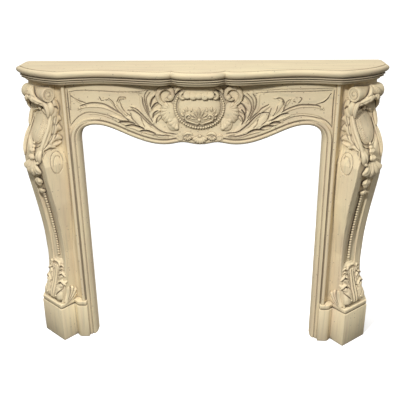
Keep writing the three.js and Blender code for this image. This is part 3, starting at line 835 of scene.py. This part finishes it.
# %% [markdown]
# ## The jambs
# Each jamb is one stone. Its inner half is a flat pilaster with mouldings that carry on from the arch. On
# its outer half a console is set at forty degrees: an S-shaped leg under a rolled volute, on a plinth.
# Both could be carved, but they are a pair, so only the right one is, and the left one is its mirror.

# %% Plan of the jamb
TURN = math.radians(40)
SHOWN = Vector((math.sin(TURN), -math.cos(TURN), 0))
ACROSS = Vector((math.cos(TURN), math.sin(TURN), 0))
CONSOLE_FOOT = Vector((680.5, -175.5, 0))
CONSOLE_HALF = 63
PLINTH_HALF = 72.5
CAP_TOP = 183
JAMB_MOULDING = [
    (REVEAL, -BACK), (REVEAL, -138), (490, -145), (492.5, -153), (496, -159.5), (500, -163), (503, -162.5),
    (505, -159.5), (507, -160), (509, -166.5), (510.5, -168), (519.5, -168), (521.5, -163), (524, -159.5),
    (526.4, -160), (527, -170), (528, -176), (529.5, -177), (537, -177), (538.5, -176), (540, -168),
    (543, -159), (548, -151), (554, -145.5), (561, -142), (569, -140.5), (620, -140),
]
JAMB_RETURN = [(690, -100), (690, 0), (560, 0), (560, -BACK)]
PILASTER_X = 527
# Inset, foot, top and worn edge of the block, the undercut and the cap
PLINTH_STEPS = [(0, 0, 161, 1.6), (13, 160, 169, 0), (2, 168, CAP_TOP, 1.4)]


def on_console(across, out, height):
    return CONSOLE_FOOT + ACROSS * across + SHOWN * out + RISE * height


def plan_at(across, out):
    return on_console(across, out, 0).xy


def carve_posts(bm):
    moulding = [(x, y) for x, y in JAMB_MOULDING if x < PILASTER_X]
    pilaster = [(x, y) for x, y in JAMB_MOULDING if x >= PILASTER_X]
    column(bm, moulding + [(532, -150), (532, -BACK)], 0, SEAT)
    column(bm, [(PILASTER_X, -BACK)] + pilaster + JAMB_RETURN, 0, STONE_TOP)


def carve_plinth(bm):
    """Block, undercut and cap: one plan, set in by a different width for each. Their backs stand a hair off
    the wall plane, so that no two faces lie in one plane."""
    outer = plan_at(PLINTH_HALF, 0).x
    for inset, low, high, soften in PLINTH_STEPS:
        half, back = PLINTH_HALF - inset, -0.5 - inset / 10
        plan = [
            (518 + inset, -130), (518 + inset, inset - 186), (553 - inset, inset - 187.5),
            (562 - inset, inset - 185), (569 - inset, inset - 177), plan_at(-half, -73 - inset),
            plan_at(-half, -inset), plan_at(half, -inset), (outer - inset, -100), (outer - inset, back),
            (600, back),
        ]
        column(bm, plan, low, high, soften)


print("jamb drawn: a moulding of", len(JAMB_MOULDING), "points, a plinth of", len(PLINTH_STEPS), "steps")

# %% [markdown]
# ## The console's leg
# The leg's front is an S-curve. Two flat fillets run down its edges, and a channel is sunk between them, a
# little towards the fire. Below the shield the leg swells to both sides. It could be an extruded profile with
# the channel cut out, but a grid can be bent onto the S-curve, pushed in and widened in one go. Its rim is
# then drawn back to the wall.

# %% The leg
LEG_LOW, LEG_BACK = CAP_TOP - 2, -112
LEG_FRONT = smooth_line([(s, z, 0) for s, z in (
    (-14, LEG_LOW), (-24, 227), (-42, 290), (-53, 370), (-53, 437), (-48, 510), (-36, 600), (-20, 690),
    (-6, 765), (2, 830), (0, 890), (-20, 950), (-48, 1010), (-62, 1060), (-70, 1100), (-70, 1166))], 400)
FRONT_MID = -10
CHANNEL_LOW, CHANNEL_HIGH, CHANNEL_HALF, CHANNEL_DEEP = 368, 806, 36, 12
SHIELD_Z, SHIELD_WIDE, SHIELD_TALL, SHIELD_DEEP, SHIELD_RISE = 986, 54, 67, 10, 18
LEG_ROWS = 160
LEG_COLUMNS = [
    -60, -58.5, -55, -52, -50, -48, -46, -43.5, -40, -34, -28, -22, -16, -10, -4, 2, 8, 14, 20, 23.5, 26, 28,
    32, 36, 41, 46, 50, 54, 58, 61.5, 63,
]
FIRE_FILLET, OUTER_FILLET = -48, 28
FIRE_SWELL, OUTER_SWELL = 19, 1 / 4.5


def front_at(height):
    """How far the leg stands out at a height."""
    for low, high in zip(LEG_FRONT, LEG_FRONT[1:]):
        if high.y >= height:
            return low.x + (high.x - low.x) * max(0, (height - low.y) / (high.y - low.y))
    return LEG_FRONT[-1].x


def flank_at(height):
    """How far the flank by the fire stands from the leg's middle: the leg swells below the shield."""
    return CONSOLE_HALF + FIRE_SWELL * step_up(height, 430, 660) * (1 - step_up(height, 835, 895))


def sunk(across, height):
    """How deep the front is cut: the channel, the bed of the shield, and the worn arrises."""
    along = step_up(height, CHANNEL_LOW, CHANNEL_LOW + 8)
    along *= 1 - step_up(height, CHANNEL_HIGH - 12, CHANNEL_HIGH)
    bed = CHANNEL_DEEP * along * (1 - step_up(abs(across - FRONT_MID), CHANNEL_HALF - 2.5, CHANNEL_HALF + 1))
    from_shield = math.hypot((across - FRONT_MID * 1.1) / (SHIELD_WIDE + 9),
                             (height - SHIELD_Z - 6) / (SHIELD_TALL + 34))
    cave = 1 + 2.4 * step_up(height, 1046, 1070)
    bed = max(bed, SHIELD_DEEP * cave * (1 - step_up(from_shield, 0.84, 1.0)))
    bed += 22 * (1 - step_up(height, 202, 214))
    return bed + 2.2 * step_up(abs(across), 60, CONSOLE_HALF) ** 2


def carve_leg(bm):
    made, over, up = carving_grid(bm, len(LEG_COLUMNS) - 1, LEG_ROWS)
    for vert, share, height in zip(made, over, LEG_LOW + (STONE_TOP - LEG_LOW) * up):
        across = LEG_COLUMNS[round(share * (len(LEG_COLUMNS) - 1))]
        deep = sunk(across, height)
        # The fillet by the fire is 12 wide at first and ends 3 inside the flank's plate
        if across < FIRE_FILLET:
            across = FIRE_FILLET + (across - FIRE_FILLET) * (flank_at(height) - 51) / 12
        if across > OUTER_FILLET:
            swell = step_up(height, 300, 420) * (1 - step_up(height, 790, 840))
            across += (across - OUTER_FILLET) * OUTER_SWELL * swell
        vert.co = on_console(across, front_at(height) - deep, height)
    draw_back(bm, lambda co: co + SHOWN * (LEG_BACK - (co - CONSOLE_FOOT).dot(SHOWN)))


jamb_bm = bmesh.new()
add_carving(jamb_bm, carve_posts, waver=0)
add_carving(jamb_bm, carve_plinth, waver=0)
add_carving(jamb_bm, carve_leg)
print("jamb roughed out,", len(jamb_bm.faces), "faces")

# %% [markdown]
# ## The roll and its hood
# The leg ends in a bolster, rolled like a scroll, and a husk of six leaves laps over its middle. It could be
# a bent cylinder, but it is as round as turned work, so its half section is spun about its axis. A hood of
# drooping leaves hangs under it, and an ear of the hood turns down over each side of the leg.

# %% The roll
ROLL_OUT, ROLL_Z = -54, 1121
ROLL_SECTION = [
    (-77, 0), (-74, 12), (-74, 20), (-77, 25), (-76, 28), (-72, 29.3), (-58, 29), (-38, 27), (-18, 24),
    (0, 23), (18, 24), (38, 27), (56, 29), (69, 29.3), (73, 28), (74, 25), (71, 20), (71, 12), (74, 0),
]


def carve_roll(bm):
    axis = on_console(0, ROLL_OUT, ROLL_Z)
    verts = [bm.verts.new(axis + ACROSS * t + RISE * r) for t, r in ROLL_SECTION]
    edges = [bm.edges.new(pair) for pair in zip(verts, verts[1:])]
    bmesh.ops.spin(bm, geom=verts + edges, cent=axis, axis=ACROSS, angle=2 * math.pi, steps=48,
                   use_merge=True)
    for end in (1, -1):
        curl = spiral(lambda u, v: on_console(end * 74.5 - 1.5, ROLL_OUT + u, ROLL_Z + v),
                      math.pi / 2, -end * math.pi * 3.2, 24, 6, 36)
        cord(bm, curl, 1.3, ACROSS * end, rings=72)
        bead(bm, on_console(end * 72.5 - 1.5, ROLL_OUT, ROLL_Z), 6)
    for fan_turn in (-0.8, -0.45, -0.15, 0.15, 0.45, 0.8):
        reach = 50 - 14 * abs(fan_turn)
        line = []
        for share in (0.0, 0.35, 0.7, 1.0):
            turn = math.radians(75) - share * math.radians(105)
            grow = 27 + 8 * math.sin(math.pi * share) + 4 * abs(fan_turn)
            line.append(on_console(reach * math.sin(fan_turn) * share * 1.2, ROLL_OUT + grow * math.cos(turn),
                                   ROLL_Z + grow * math.sin(turn)))
        leaf(bm, line, 7, 9, SHOWN, broad=0.62, blunt=0.55, rib=-0.5)


def carve_hood(bm, side):
    def place(across, out, height):
        return on_console(across * (0.9 if side == 1 else -1), out, height)

    drooping = (SHOWN * 0.8 + RISE * 0.6).normalized()
    tips = [place(14, -14, 1099), place(32, -14, 1094), place(49, -24, 1087), place(63, -42, 1078)]
    fan(bm, place(1, -34, 1114), tips, 12, 8, drooping, 10, broad=0.62, blunt=0.5, rib=-0.12)
    brow = [place(0, -25, 1110), place(24, -16, 1106), place(46, -24, 1099), place(64, -44, 1086)]
    leaf(bm, brow, 7, 7, drooping, blunt=0.4, rib=-0.2, rings=28)
    if side == 1:
        turned = (SHOWN * 0.6 + ACROSS * 0.8).normalized()
        ear = [place(58, -38, 1100), place(73, -48, 1082), place(76, -52, 1062), place(70, -54, 1046)]
        leaf(bm, ear, 10, 9, turned, blunt=0.45, rib=-0.15, rings=28)
    else:
        turned = (SHOWN * 0.6 - ACROSS * 0.8).normalized()
        ear = [place(46, -36, 1096), place(62, -42, 1084), place(70, -46, 1058), place(68, -46, 1030)]
        leaf(bm, ear, 10, 10, turned, blunt=0.45, rib=-0.15, rings=32)
        lap = [place(58, -52, 1096), place(76, -58, 1074), place(72, -58, 1038)]
        leaf(bm, lap, 13, 11, turned, blunt=0.45, rings=28)


add_carving(jamb_bm, carve_roll)
for side in (1, -1):
    add_carving(jamb_bm, carve_hood, side)
print("roll and hood carved")

# %% [markdown]
# ## Shield, straps and drops
# Under the hood sits a cushioned shield between two straps. The strap towards the fire ends in a round lobe.
# A string of husks falls from the shield: a bell flower, two buds, and a row of beads down the channel. They
# could be placed by eye, but every one asks the leg for its front at that height, and so sits on the S-curve.

# %% Shield and straps
def on_shield(across, up, lift):
    """A place on the shield's bed; across and up run from -1 to 1 and the lower half is narrower."""
    height = SHIELD_Z + SHIELD_TALL * up
    neck = 8 * step_up(height, 1005, 1060)
    over = FRONT_MID * 1.2 + SHIELD_WIDE * across * (1 + 0.14 * up)
    return on_console(over, front_at(height) - SHIELD_DEEP + neck + lift, height)


def carve_shield(bm):
    for vert in bmesh.ops.create_uvsphere(bm, u_segments=40, v_segments=28, radius=1)["verts"]:
        lift = SHIELD_RISE * max(-vert.co.y, 0) - 7 * max(vert.co.y, 0)
        vert.co = on_shield(vert.co.x, vert.co.z, lift)
    for grow, lift, radius in ((1.14, 3, 3), (0.84, 9.5, 1.4)):
        rim = spiral(lambda u, v: on_shield(u * grow, v * grow, lift), math.pi / 2, 2 * math.pi, 1, 1, 40)
        cord(bm, rim, radius, SHOWN, radius * 1.3, rings=72, blunt=0.05)
    bead(bm, on_shield(0, 1.12, 14), 8)
    for side in (1, -1):
        scallop = [on_shield(side * u, v, lift)
                   for u, v, lift in ((0.12, 1.06, 12), (0.5, 1.0, 13), (0.9, 0.72, 10))]
        leaf(bm, scallop, 6, 8, SHOWN, lobes=3, notch=0.3, rings=24)
    for i in range(10):
        for start in (-0.78, -0.52):
            tick = []
            for share in (0, 0.5, 1):
                u, v = start + 0.18 * share, 0.5 - 0.12 * i + 0.1 * share
                tick.append(on_shield(u, v, SHIELD_RISE * math.sqrt(max(1 - u * u - v * v, 0))))
            leaf(bm, tick, 2.2, 2.8, SHOWN)


def carve_strap(bm, side):
    def place(across, lift, height):
        return on_console(across if side == 1 else -7 - across, front_at(height) + lift, height)

    if side == 1:
        upper = [place(48, 4, 1078), place(56, 5, 1044), place(56, 6, 1008), place(51, 4, 982)]
        leaf(bm, upper, 9, 8, SHOWN, broad=0.6, blunt=0.4, rib=-0.2, rings=36)
        lower = [place(60, -3, 984), place(59, 1, 948), place(55, 4, 906), place(50, 6, 872)]
        leaf(bm, lower, 8, 7, SHOWN, blunt=0.3, rib=-0.45, rings=40)
        band = [place(50, -8, 1024), place(51, -4, 970), place(52, 0, 920), place(54, 4, 862)]
        leaf(bm, band, 10, 6, (SHOWN + ACROSS * 0.7).normalized(), blunt=0.25, rings=40)
        knob = [place(58, -14, 1030), place(61, -10, 1014), place(58, -8, 1000)]
        leaf(bm, knob, 9, 8, (SHOWN + ACROSS).normalized(), rib=-0.3)
        return
    strap = [place(54, -2, 1066), place(62, 0, 1024), place(63, 0, 984), place(61, 1, 948), place(56, 4, 906),
             place(51, 6, 872)]
    leaf(bm, strap, 8, 8, SHOWN, blunt=0.3, rib=-0.2, rings=56)
    lobe = [place(53, -4, 922), place(51, 10, 888), place(46, 8, 850)]
    leaf(bm, lobe, 17, 11, SHOWN, broad=0.66, blunt=0.5, rib=-0.4, sides=16, rings=24)
    rolled = [place(56, 10, 862), place(46, 15, 853), place(34, 8, 856)]
    leaf(bm, rolled, 6, 7, SHOWN)


add_carving(jamb_bm, carve_shield)
for side in (1, -1):
    add_carving(jamb_bm, carve_strap, side)
print("shield and straps carved")

# %% Husks, bell flower and beads
STRING_TOP, STRING_FOOT, STRING_BEADS = 698, 402, 25
# Each ring of petals: top, foot, spread, half width, rise, flare, hollow, turns and curl
HUSKS = [
    (912, 888, 12, 6.5, 7, 9, 0.3, (-1, 0, 1), 0.2),
    (888, 856, 15, 7.5, 8, 11, 0.3, (-1, 0, 1), 0.2),
    (866, 780, 46, 15, 10, 14, 0.4, (-1, -0.45), 0.3),
    (868, 780, 54, 25, 11, 18, 0.55, (0.2, 0.85), 0.35),
    (782, 738, 17, 11, 12, 1, 0.2, (-1, 0, 1), 0.35),
    (728, 703, 14, 9, 11, -1, 0.2, (-1, 0, 1), 0.35),
]


def petals(bm, top, foot, spread, half_width, rise, flare, hollow, turns, curl):
    """A ring of petals that hang from one height to another and flare away from the leg."""
    middle = 0.5 * (top + foot)
    for turn in turns:
        tip = foot + curl * (top - foot) * abs(turn)
        line = [on_console(FRONT_MID + turn * spread * 0.1, front_at(top) + 5, top),
                on_console(FRONT_MID + turn * spread * 0.62, front_at(middle) + flare, middle),
                on_console(FRONT_MID + turn * spread, front_at(foot) + flare * 0.85, tip)]
        leaf(bm, line, half_width, rise, SHOWN, broad=0.7, blunt=0.5, rib=-hollow, crisp=0.8, sides=16,
             rings=24)


def carve_drop(bm):
    for height, radius in ((926, 5.5), (912, 8.5), (888, 8)):
        bead(bm, on_console(FRONT_MID, front_at(height) + 4, height), radius)
    for husk in HUSKS:
        petals(bm, *husk)
    for i in range(STRING_BEADS):
        height = STRING_TOP + (STRING_FOOT - STRING_TOP) * i / (STRING_BEADS - 1)
        bead(bm, on_console(FRONT_MID, front_at(height) - CHANNEL_DEEP + 6, height), 6)


add_carving(jamb_bm, carve_drop)
print(len(HUSKS), "rings of petals and", STRING_BEADS, "beads carved")

# %% [markdown]
# ## The acanthus foot and the flank
# An acanthus leaf sheathes the foot: a double rib, lobes lapping down each side and a curled lip on top. The
# flank that faces the fire has a leaf climbing its edge, an oval eye, two border lines and a sprig by the
# plinth. Separate leaves would look stuck on, so both are reliefs like the ground of the frieze. The foot's
# is bent round the corners of the leg, and the flank's is a plate that follows its swell.

# %% The foot
FOOT_SINK, FOOT_CORNER, FOOT_REACH = 9, 20, 97
FOOT_LOW, FOOT_TOP, FOOT_COLUMNS, FOOT_ROWS = 197, 380, 112, 112
FOOT_HEART, FOOT_WALL = -70, 0.4
# Half width and bulge of the sheath at each height
FOOT_SHAPE = [
    (197, 57, 3), (201, 63, 8), (209, 67, 11), (224, 69, 12), (262, 70, 10), (300, 67, 7), (335, 60, 3),
    (365, 50, 0), (380, 40, -3),
]
FOOT_LEAVES = [
    (58, 11, [(0, 366), (0, 300), (0, 180)]),
    (34, 12, [(16, 280), (36, 236), (46, 168)]),
    (12, 12, [(14, 322), (32, 344), (48, 360)]),
    (13, 12.5, [(16, 282), (40, 306), (62, 322)]),
    (14, 13, [(18, 244), (46, 266), (74, 286)]),
    (27, 14, [(30, 262), (46, 218), (50, 172)]),
    (6.5, 14.5, [(4, 354), (7, 290), (8, 240), (5, 170)]),
    (5.5, 15.5, [(26, 344), (38, 358), (56, 345)]),
    (6, 15.5, [(26, 308), (44, 323), (66, 308)]),
    (6, 16, [(28, 270), (47, 287), (72, 272)]),
    (7.5, 16, [(0, 367), (15, 364), (27, 352)]),
    (7, 14, [(26, 330), (40, 344), (54, 338)]),
]
FOOT_STROKES = [
    (5, 11, [(0, 351), (6, 351), (12, 348)]),
    (3.4, 10, [(30, 343), (39, 350), (50, 341)]),
    (2.8, 8, [(28, 330), (34, 324), (44, 321)]),
    (3.2, 9, [(31, 308), (44, 314), (59, 306)]),
    (3.2, 9, [(33, 270), (46, 278), (62, 270)]),
    (2.4, 5, [(19, 271), (25, 265), (27, 254)]),
    (2.4, 5.5, [(76, 266), (58, 250), (43, 235), (33, 222)]),
    (2, 3.5, [(28, 336), (18, 310), (15, 280)]),
    (2, 3.5, [(30, 304), (22, 280), (19, 250), (18, 222)]),
    (2.2, 4.5, [(0, 344), (0, 280), (0, 180)]),
    (2.2, 4.5, [(14, 330), (15, 280), (16, 240), (11, 180)]),
]


def around_foot(along, height, lift):
    """A place on the sheath; along runs from the middle of the front over a rounded corner to the side."""
    heights, widths, bulges = zip(*FOOT_SHAPE)
    flat = np.interp(height, heights, widths) - FOOT_CORNER
    turn = min(max((abs(along) - flat) / FOOT_CORNER, 0), math.pi / 2)
    behind = max(abs(along) - flat - FOOT_CORNER * math.pi / 2, 0)
    across = min(abs(along), flat) + (FOOT_CORNER + lift) * math.sin(turn)
    front = front_at(height) + np.interp(height, heights, bulges) - FOOT_CORNER
    out = front + (FOOT_CORNER + lift) * math.cos(turn) - behind
    return on_console(math.copysign(across, along), out, height)


def carve_foot(bm):
    made, over, up = carving_grid(bm, FOOT_COLUMNS, FOOT_ROWS)
    along, height = (2 * over - 1) * FOOT_REACH, FOOT_LOW + (FOOT_TOP - FOOT_LOW) * up
    lift = relief(np.abs(along), height, FOOT_LEAVES, FOOT_STROKES, 0) - FOOT_SINK
    for vert, x, z, proud in zip(made, along, height, lift):
        vert.co = around_foot(x, z, proud)
    draw_back(bm, lambda co: co.lerp(on_console(0, FOOT_HEART, co.z), FOOT_WALL))
    for side in (1, -1):
        bead(bm, around_foot(side * 31, 217, 4), 4.5)


add_carving(jamb_bm, carve_foot)
print("foot carved:", len(FOOT_LEAVES), "leaves and", len(FOOT_STROKES), "strokes a side")

# %% The flank
FLANK_TOP, FLANK_COLUMNS, FLANK_ROWS = 1100, 64, 400
FLANK_BED, FLANK_DRIFT = 57, 0.73
FLANK_LEAVES = [
    (16, 14, [(-74, 1000), (-86, 1020), (-104, 1016)]),
    (15, 14, [(-78, 1010), (-82, 1035), (-84, 1056)]),
    (27, 17, [(-74, 1088), (-78, 1062), (-70, 1036)]),
    (17, 14, [(-62, 962), (-78, 985), (-98, 976)]),
    (17, 14, [(-40, 930), (-66, 944), (-94, 938)]),
    (13, 13, [(-40, 925), (-70, 919), (-92, 923)]),
    (11, 12, [(-12, 908), (-38, 914), (-62, 906)]),
    (10, 11, [(-64, 1040), (-56, 1000), (-42, 960), (-20, 926), (0, 896), (4, 864)]),
    (11, 10, [(-30, 186), (-48, 216), (-54, 254)]),
    (12, 11, [(-30, 184), (-58, 212), (-74, 248)]),
    (12, 11, [(-30, 182), (-64, 202), (-90, 232)]),
    (8, 9, [(-34, 180), (-66, 190), (-90, 208)]),
]
FLANK_STROKES = [
    (4.2, 12, [(-111, 1007), (-101, 1006), (-90, 1004)]),
    (2.4, 8, [(-98, 1006), (-87, 1003), (-75, 992)]),
    (4.2, 12, [(-102, 961), (-92, 962), (-81, 959)]),
    (2.6, 8, [(-91, 962), (-77, 957), (-60, 944)]),
    (7, 4, [(-84, 924), (-70, 926), (-50, 923)]),
    (4, 12, [(-54, 898), (-39, 905), (-26, 903), (-13, 896)]),
    (2.2, 5, [(-79, 1031), (-75, 1011), (-66, 984), (-55, 952), (-33, 928), (-16, 916), (0, 905)]),
    (4, 7, [(-92, 1058), (-83, 1068), (-67, 1071)]),
    (2.2, 6, [(-40, 196), (-56, 222), (-66, 254)]),
    (2.2, 6, [(-42, 190), (-64, 214), (-84, 246)]),
    (2.2, 6, [(-44, 185), (-68, 198), (-92, 222)]),
    (1.9, 6, [(-42, 872), (-56, 884), (-74, 884), (-91, 868), (-98, 838), (-90, 810), (-72, 797), (-54, 802),
              (-43, 820), (-38, 846), (-42, 872)]),
    (1.7, 5, [(-86, 858), (-76, 868), (-62, 866), (-53, 850), (-51, 832)]),
    (2.6, 5, [(-20, 650), (-10, 720), (-4, 780), (-4, 840), (-10, 878), (-24, 892)]),
    (2.2, 1.2, [(-62, 300), (-66, 420), (-56, 540), (-40, 640), (-26, 700), (-16, 760)]),
]


def carve_flank(bm):
    made, over, up = carving_grid(bm, FLANK_COLUMNS, FLANK_ROWS)
    height = LEG_LOW + (FLANK_TOP - LEG_LOW) * up
    front = np.array([front_at(z) for z in height]) - 0.5
    out = front + (LEG_BACK - front) * over
    swell = np.array([flank_at(z) for z in height])
    drift = FLANK_DRIFT * (swell - CONSOLE_HALF)
    lift = relief(out - drift, height, FLANK_LEAVES, FLANK_STROKES, -4.5)
    lift -= 2.5 * np.clip(1 - (front - out) / 3, 0, 1) ** 2
    for vert, across, z, proud in zip(made, out, height, lift + swell):
        vert.co = on_console(-proud, across, z)
    draw_back(bm, lambda co: co + ACROSS * ((CONSOLE_FOOT - co).dot(ACROSS) - FLANK_BED))


add_carving(jamb_bm, carve_flank)
print("flank carved:", len(FLANK_LEAVES), "leaves and", len(FLANK_STROKES), "strokes")

# %% Right and left jamb
left_bm = jamb_bm.copy()
bmesh.ops.scale(left_bm, vec=(-1, 1, 1), verts=left_bm.verts)
set_stone("carved_right_jamb", "right_jamb", jamb_bm, jamb_stone)
set_stone("carved_left_jamb", "left_jamb", left_bm, jamb_stone)

# %% [markdown]
# ## Studio
# The floor is pale and plain, and throws no light back on the stone. One small soft lamp stands in front,
# above the shelf and a little to the left, so that the shelf throws a band of shade on the frieze. Several
# lamps could fill the shadows, but a white dome that is brightest overhead does so without second shadows.
# The camera looks down on the surround at the angle of the photograph, with the lens that fits its
# perspective.

# %% Floor
FLOOR_HALF = 30
floor_bm = bmesh.new()
bmesh.ops.create_grid(floor_bm, x_segments=1, y_segments=1, size=FLOOR_HALF)
floor_mesh = bpy.data.meshes.new("floor")
floor_bm.to_mesh(floor_mesh)
floor_bm.free()
floor = bpy.data.objects.new("floor", floor_mesh)
bpy.context.scene.collection.objects.link(floor)
floor_paint = bpy.data.materials.new("pale_floor")
floor_paint.use_nodes = True
for socket, value in (("Base Color", (0.93, 0.93, 0.93, 1)), ("Roughness", 0.9),
                      ("Emission Color", (1, 1, 1, 1)), ("Emission Strength", 0.25)):
    floor_paint.node_tree.nodes["Principled BSDF"].inputs[socket].default_value = value
floor_mesh.materials.append(floor_paint)
floor.visible_diffuse = False
print("floor laid")

# %% Dome and lamp
dome = bpy.data.worlds.new("white_dome")
dome.use_nodes = True
sky_nodes, sky_links = dome.node_tree.nodes, dome.node_tree.links
direction = sky_nodes.new("ShaderNodeTexCoord")
split = sky_nodes.new("ShaderNodeSeparateXYZ")
brightness = sky_nodes.new("ShaderNodeMapRange")
for socket, value in (("From Min", -0.02), ("From Max", 0.9), ("To Min", 0.06), ("To Max", 1.25)):
    brightness.inputs[socket].default_value = value
sky_links.new(direction.outputs["Generated"], split.inputs["Vector"])
sky_links.new(split.outputs["Z"], brightness.inputs["Value"])
sky_links.new(brightness.outputs["Result"], sky_nodes["Background"].inputs["Strength"])
sky_nodes["Background"].inputs["Color"].default_value = (1, 1, 1, 1)
bpy.context.scene.world = dome
bpy.context.scene.view_settings.view_transform = "Standard"


def soft_lamp(name, place, aim, size, strength):
    """A square lamp whose light keeps its strength with distance, like a lamp bank much farther off."""
    lamp = bpy.data.lights.new(name, "AREA")
    lamp.size = size
    lamp.energy = 1
    lamp.use_nodes = True
    nodes, links = lamp.node_tree.nodes, lamp.node_tree.links
    even = nodes.new("ShaderNodeLightFalloff")
    even.inputs["Strength"].default_value = strength
    links.new(even.outputs["Constant"], nodes["Emission"].inputs["Strength"])
    lamp_object = bpy.data.objects.new(name, lamp)
    lamp_object.location = place
    lamp_object.rotation_euler = (Vector(aim) - Vector(place)).to_track_quat("-Z", "Y").to_euler()
    bpy.context.scene.collection.objects.link(lamp_object)


soft_lamp("front_lamp", (-0.2, -1.25, 1.76), (0, 0, 0.7), 0.14, 8.3)
print("studio set")

# %% Camera
EYE = Vector((0.1287, WALL_Y - 2.4639, 1.6369))
YAW, PITCH, ROLL = (math.radians(a) for a in (-3.274, -22.66, -0.803))
LENS_SHARE = 600 / 400
ahead = Vector((math.sin(YAW) * math.cos(PITCH), math.cos(YAW) * math.cos(PITCH), math.sin(PITCH)))
level = Vector((math.cos(YAW), -math.sin(YAW), 0))
upright = level.cross(ahead)
right_hand = level * math.cos(ROLL) + upright * math.sin(ROLL)
overhead = upright * math.cos(ROLL) - level * math.sin(ROLL)
lens = bpy.data.cameras.new("camera")
lens.sensor_width = 36
lens.lens = lens.sensor_width * LENS_SHARE
camera = bpy.data.objects.new("camera", lens)
camera.matrix_world = Matrix.Translation(EYE) @ Matrix((right_hand, overhead, -ahead)).transposed().to_4x4()
bpy.context.scene.collection.objects.link(camera)
bpy.context.scene.camera = camera
print("camera", [round(c, 3) for c in EYE], "lens", lens.lens)
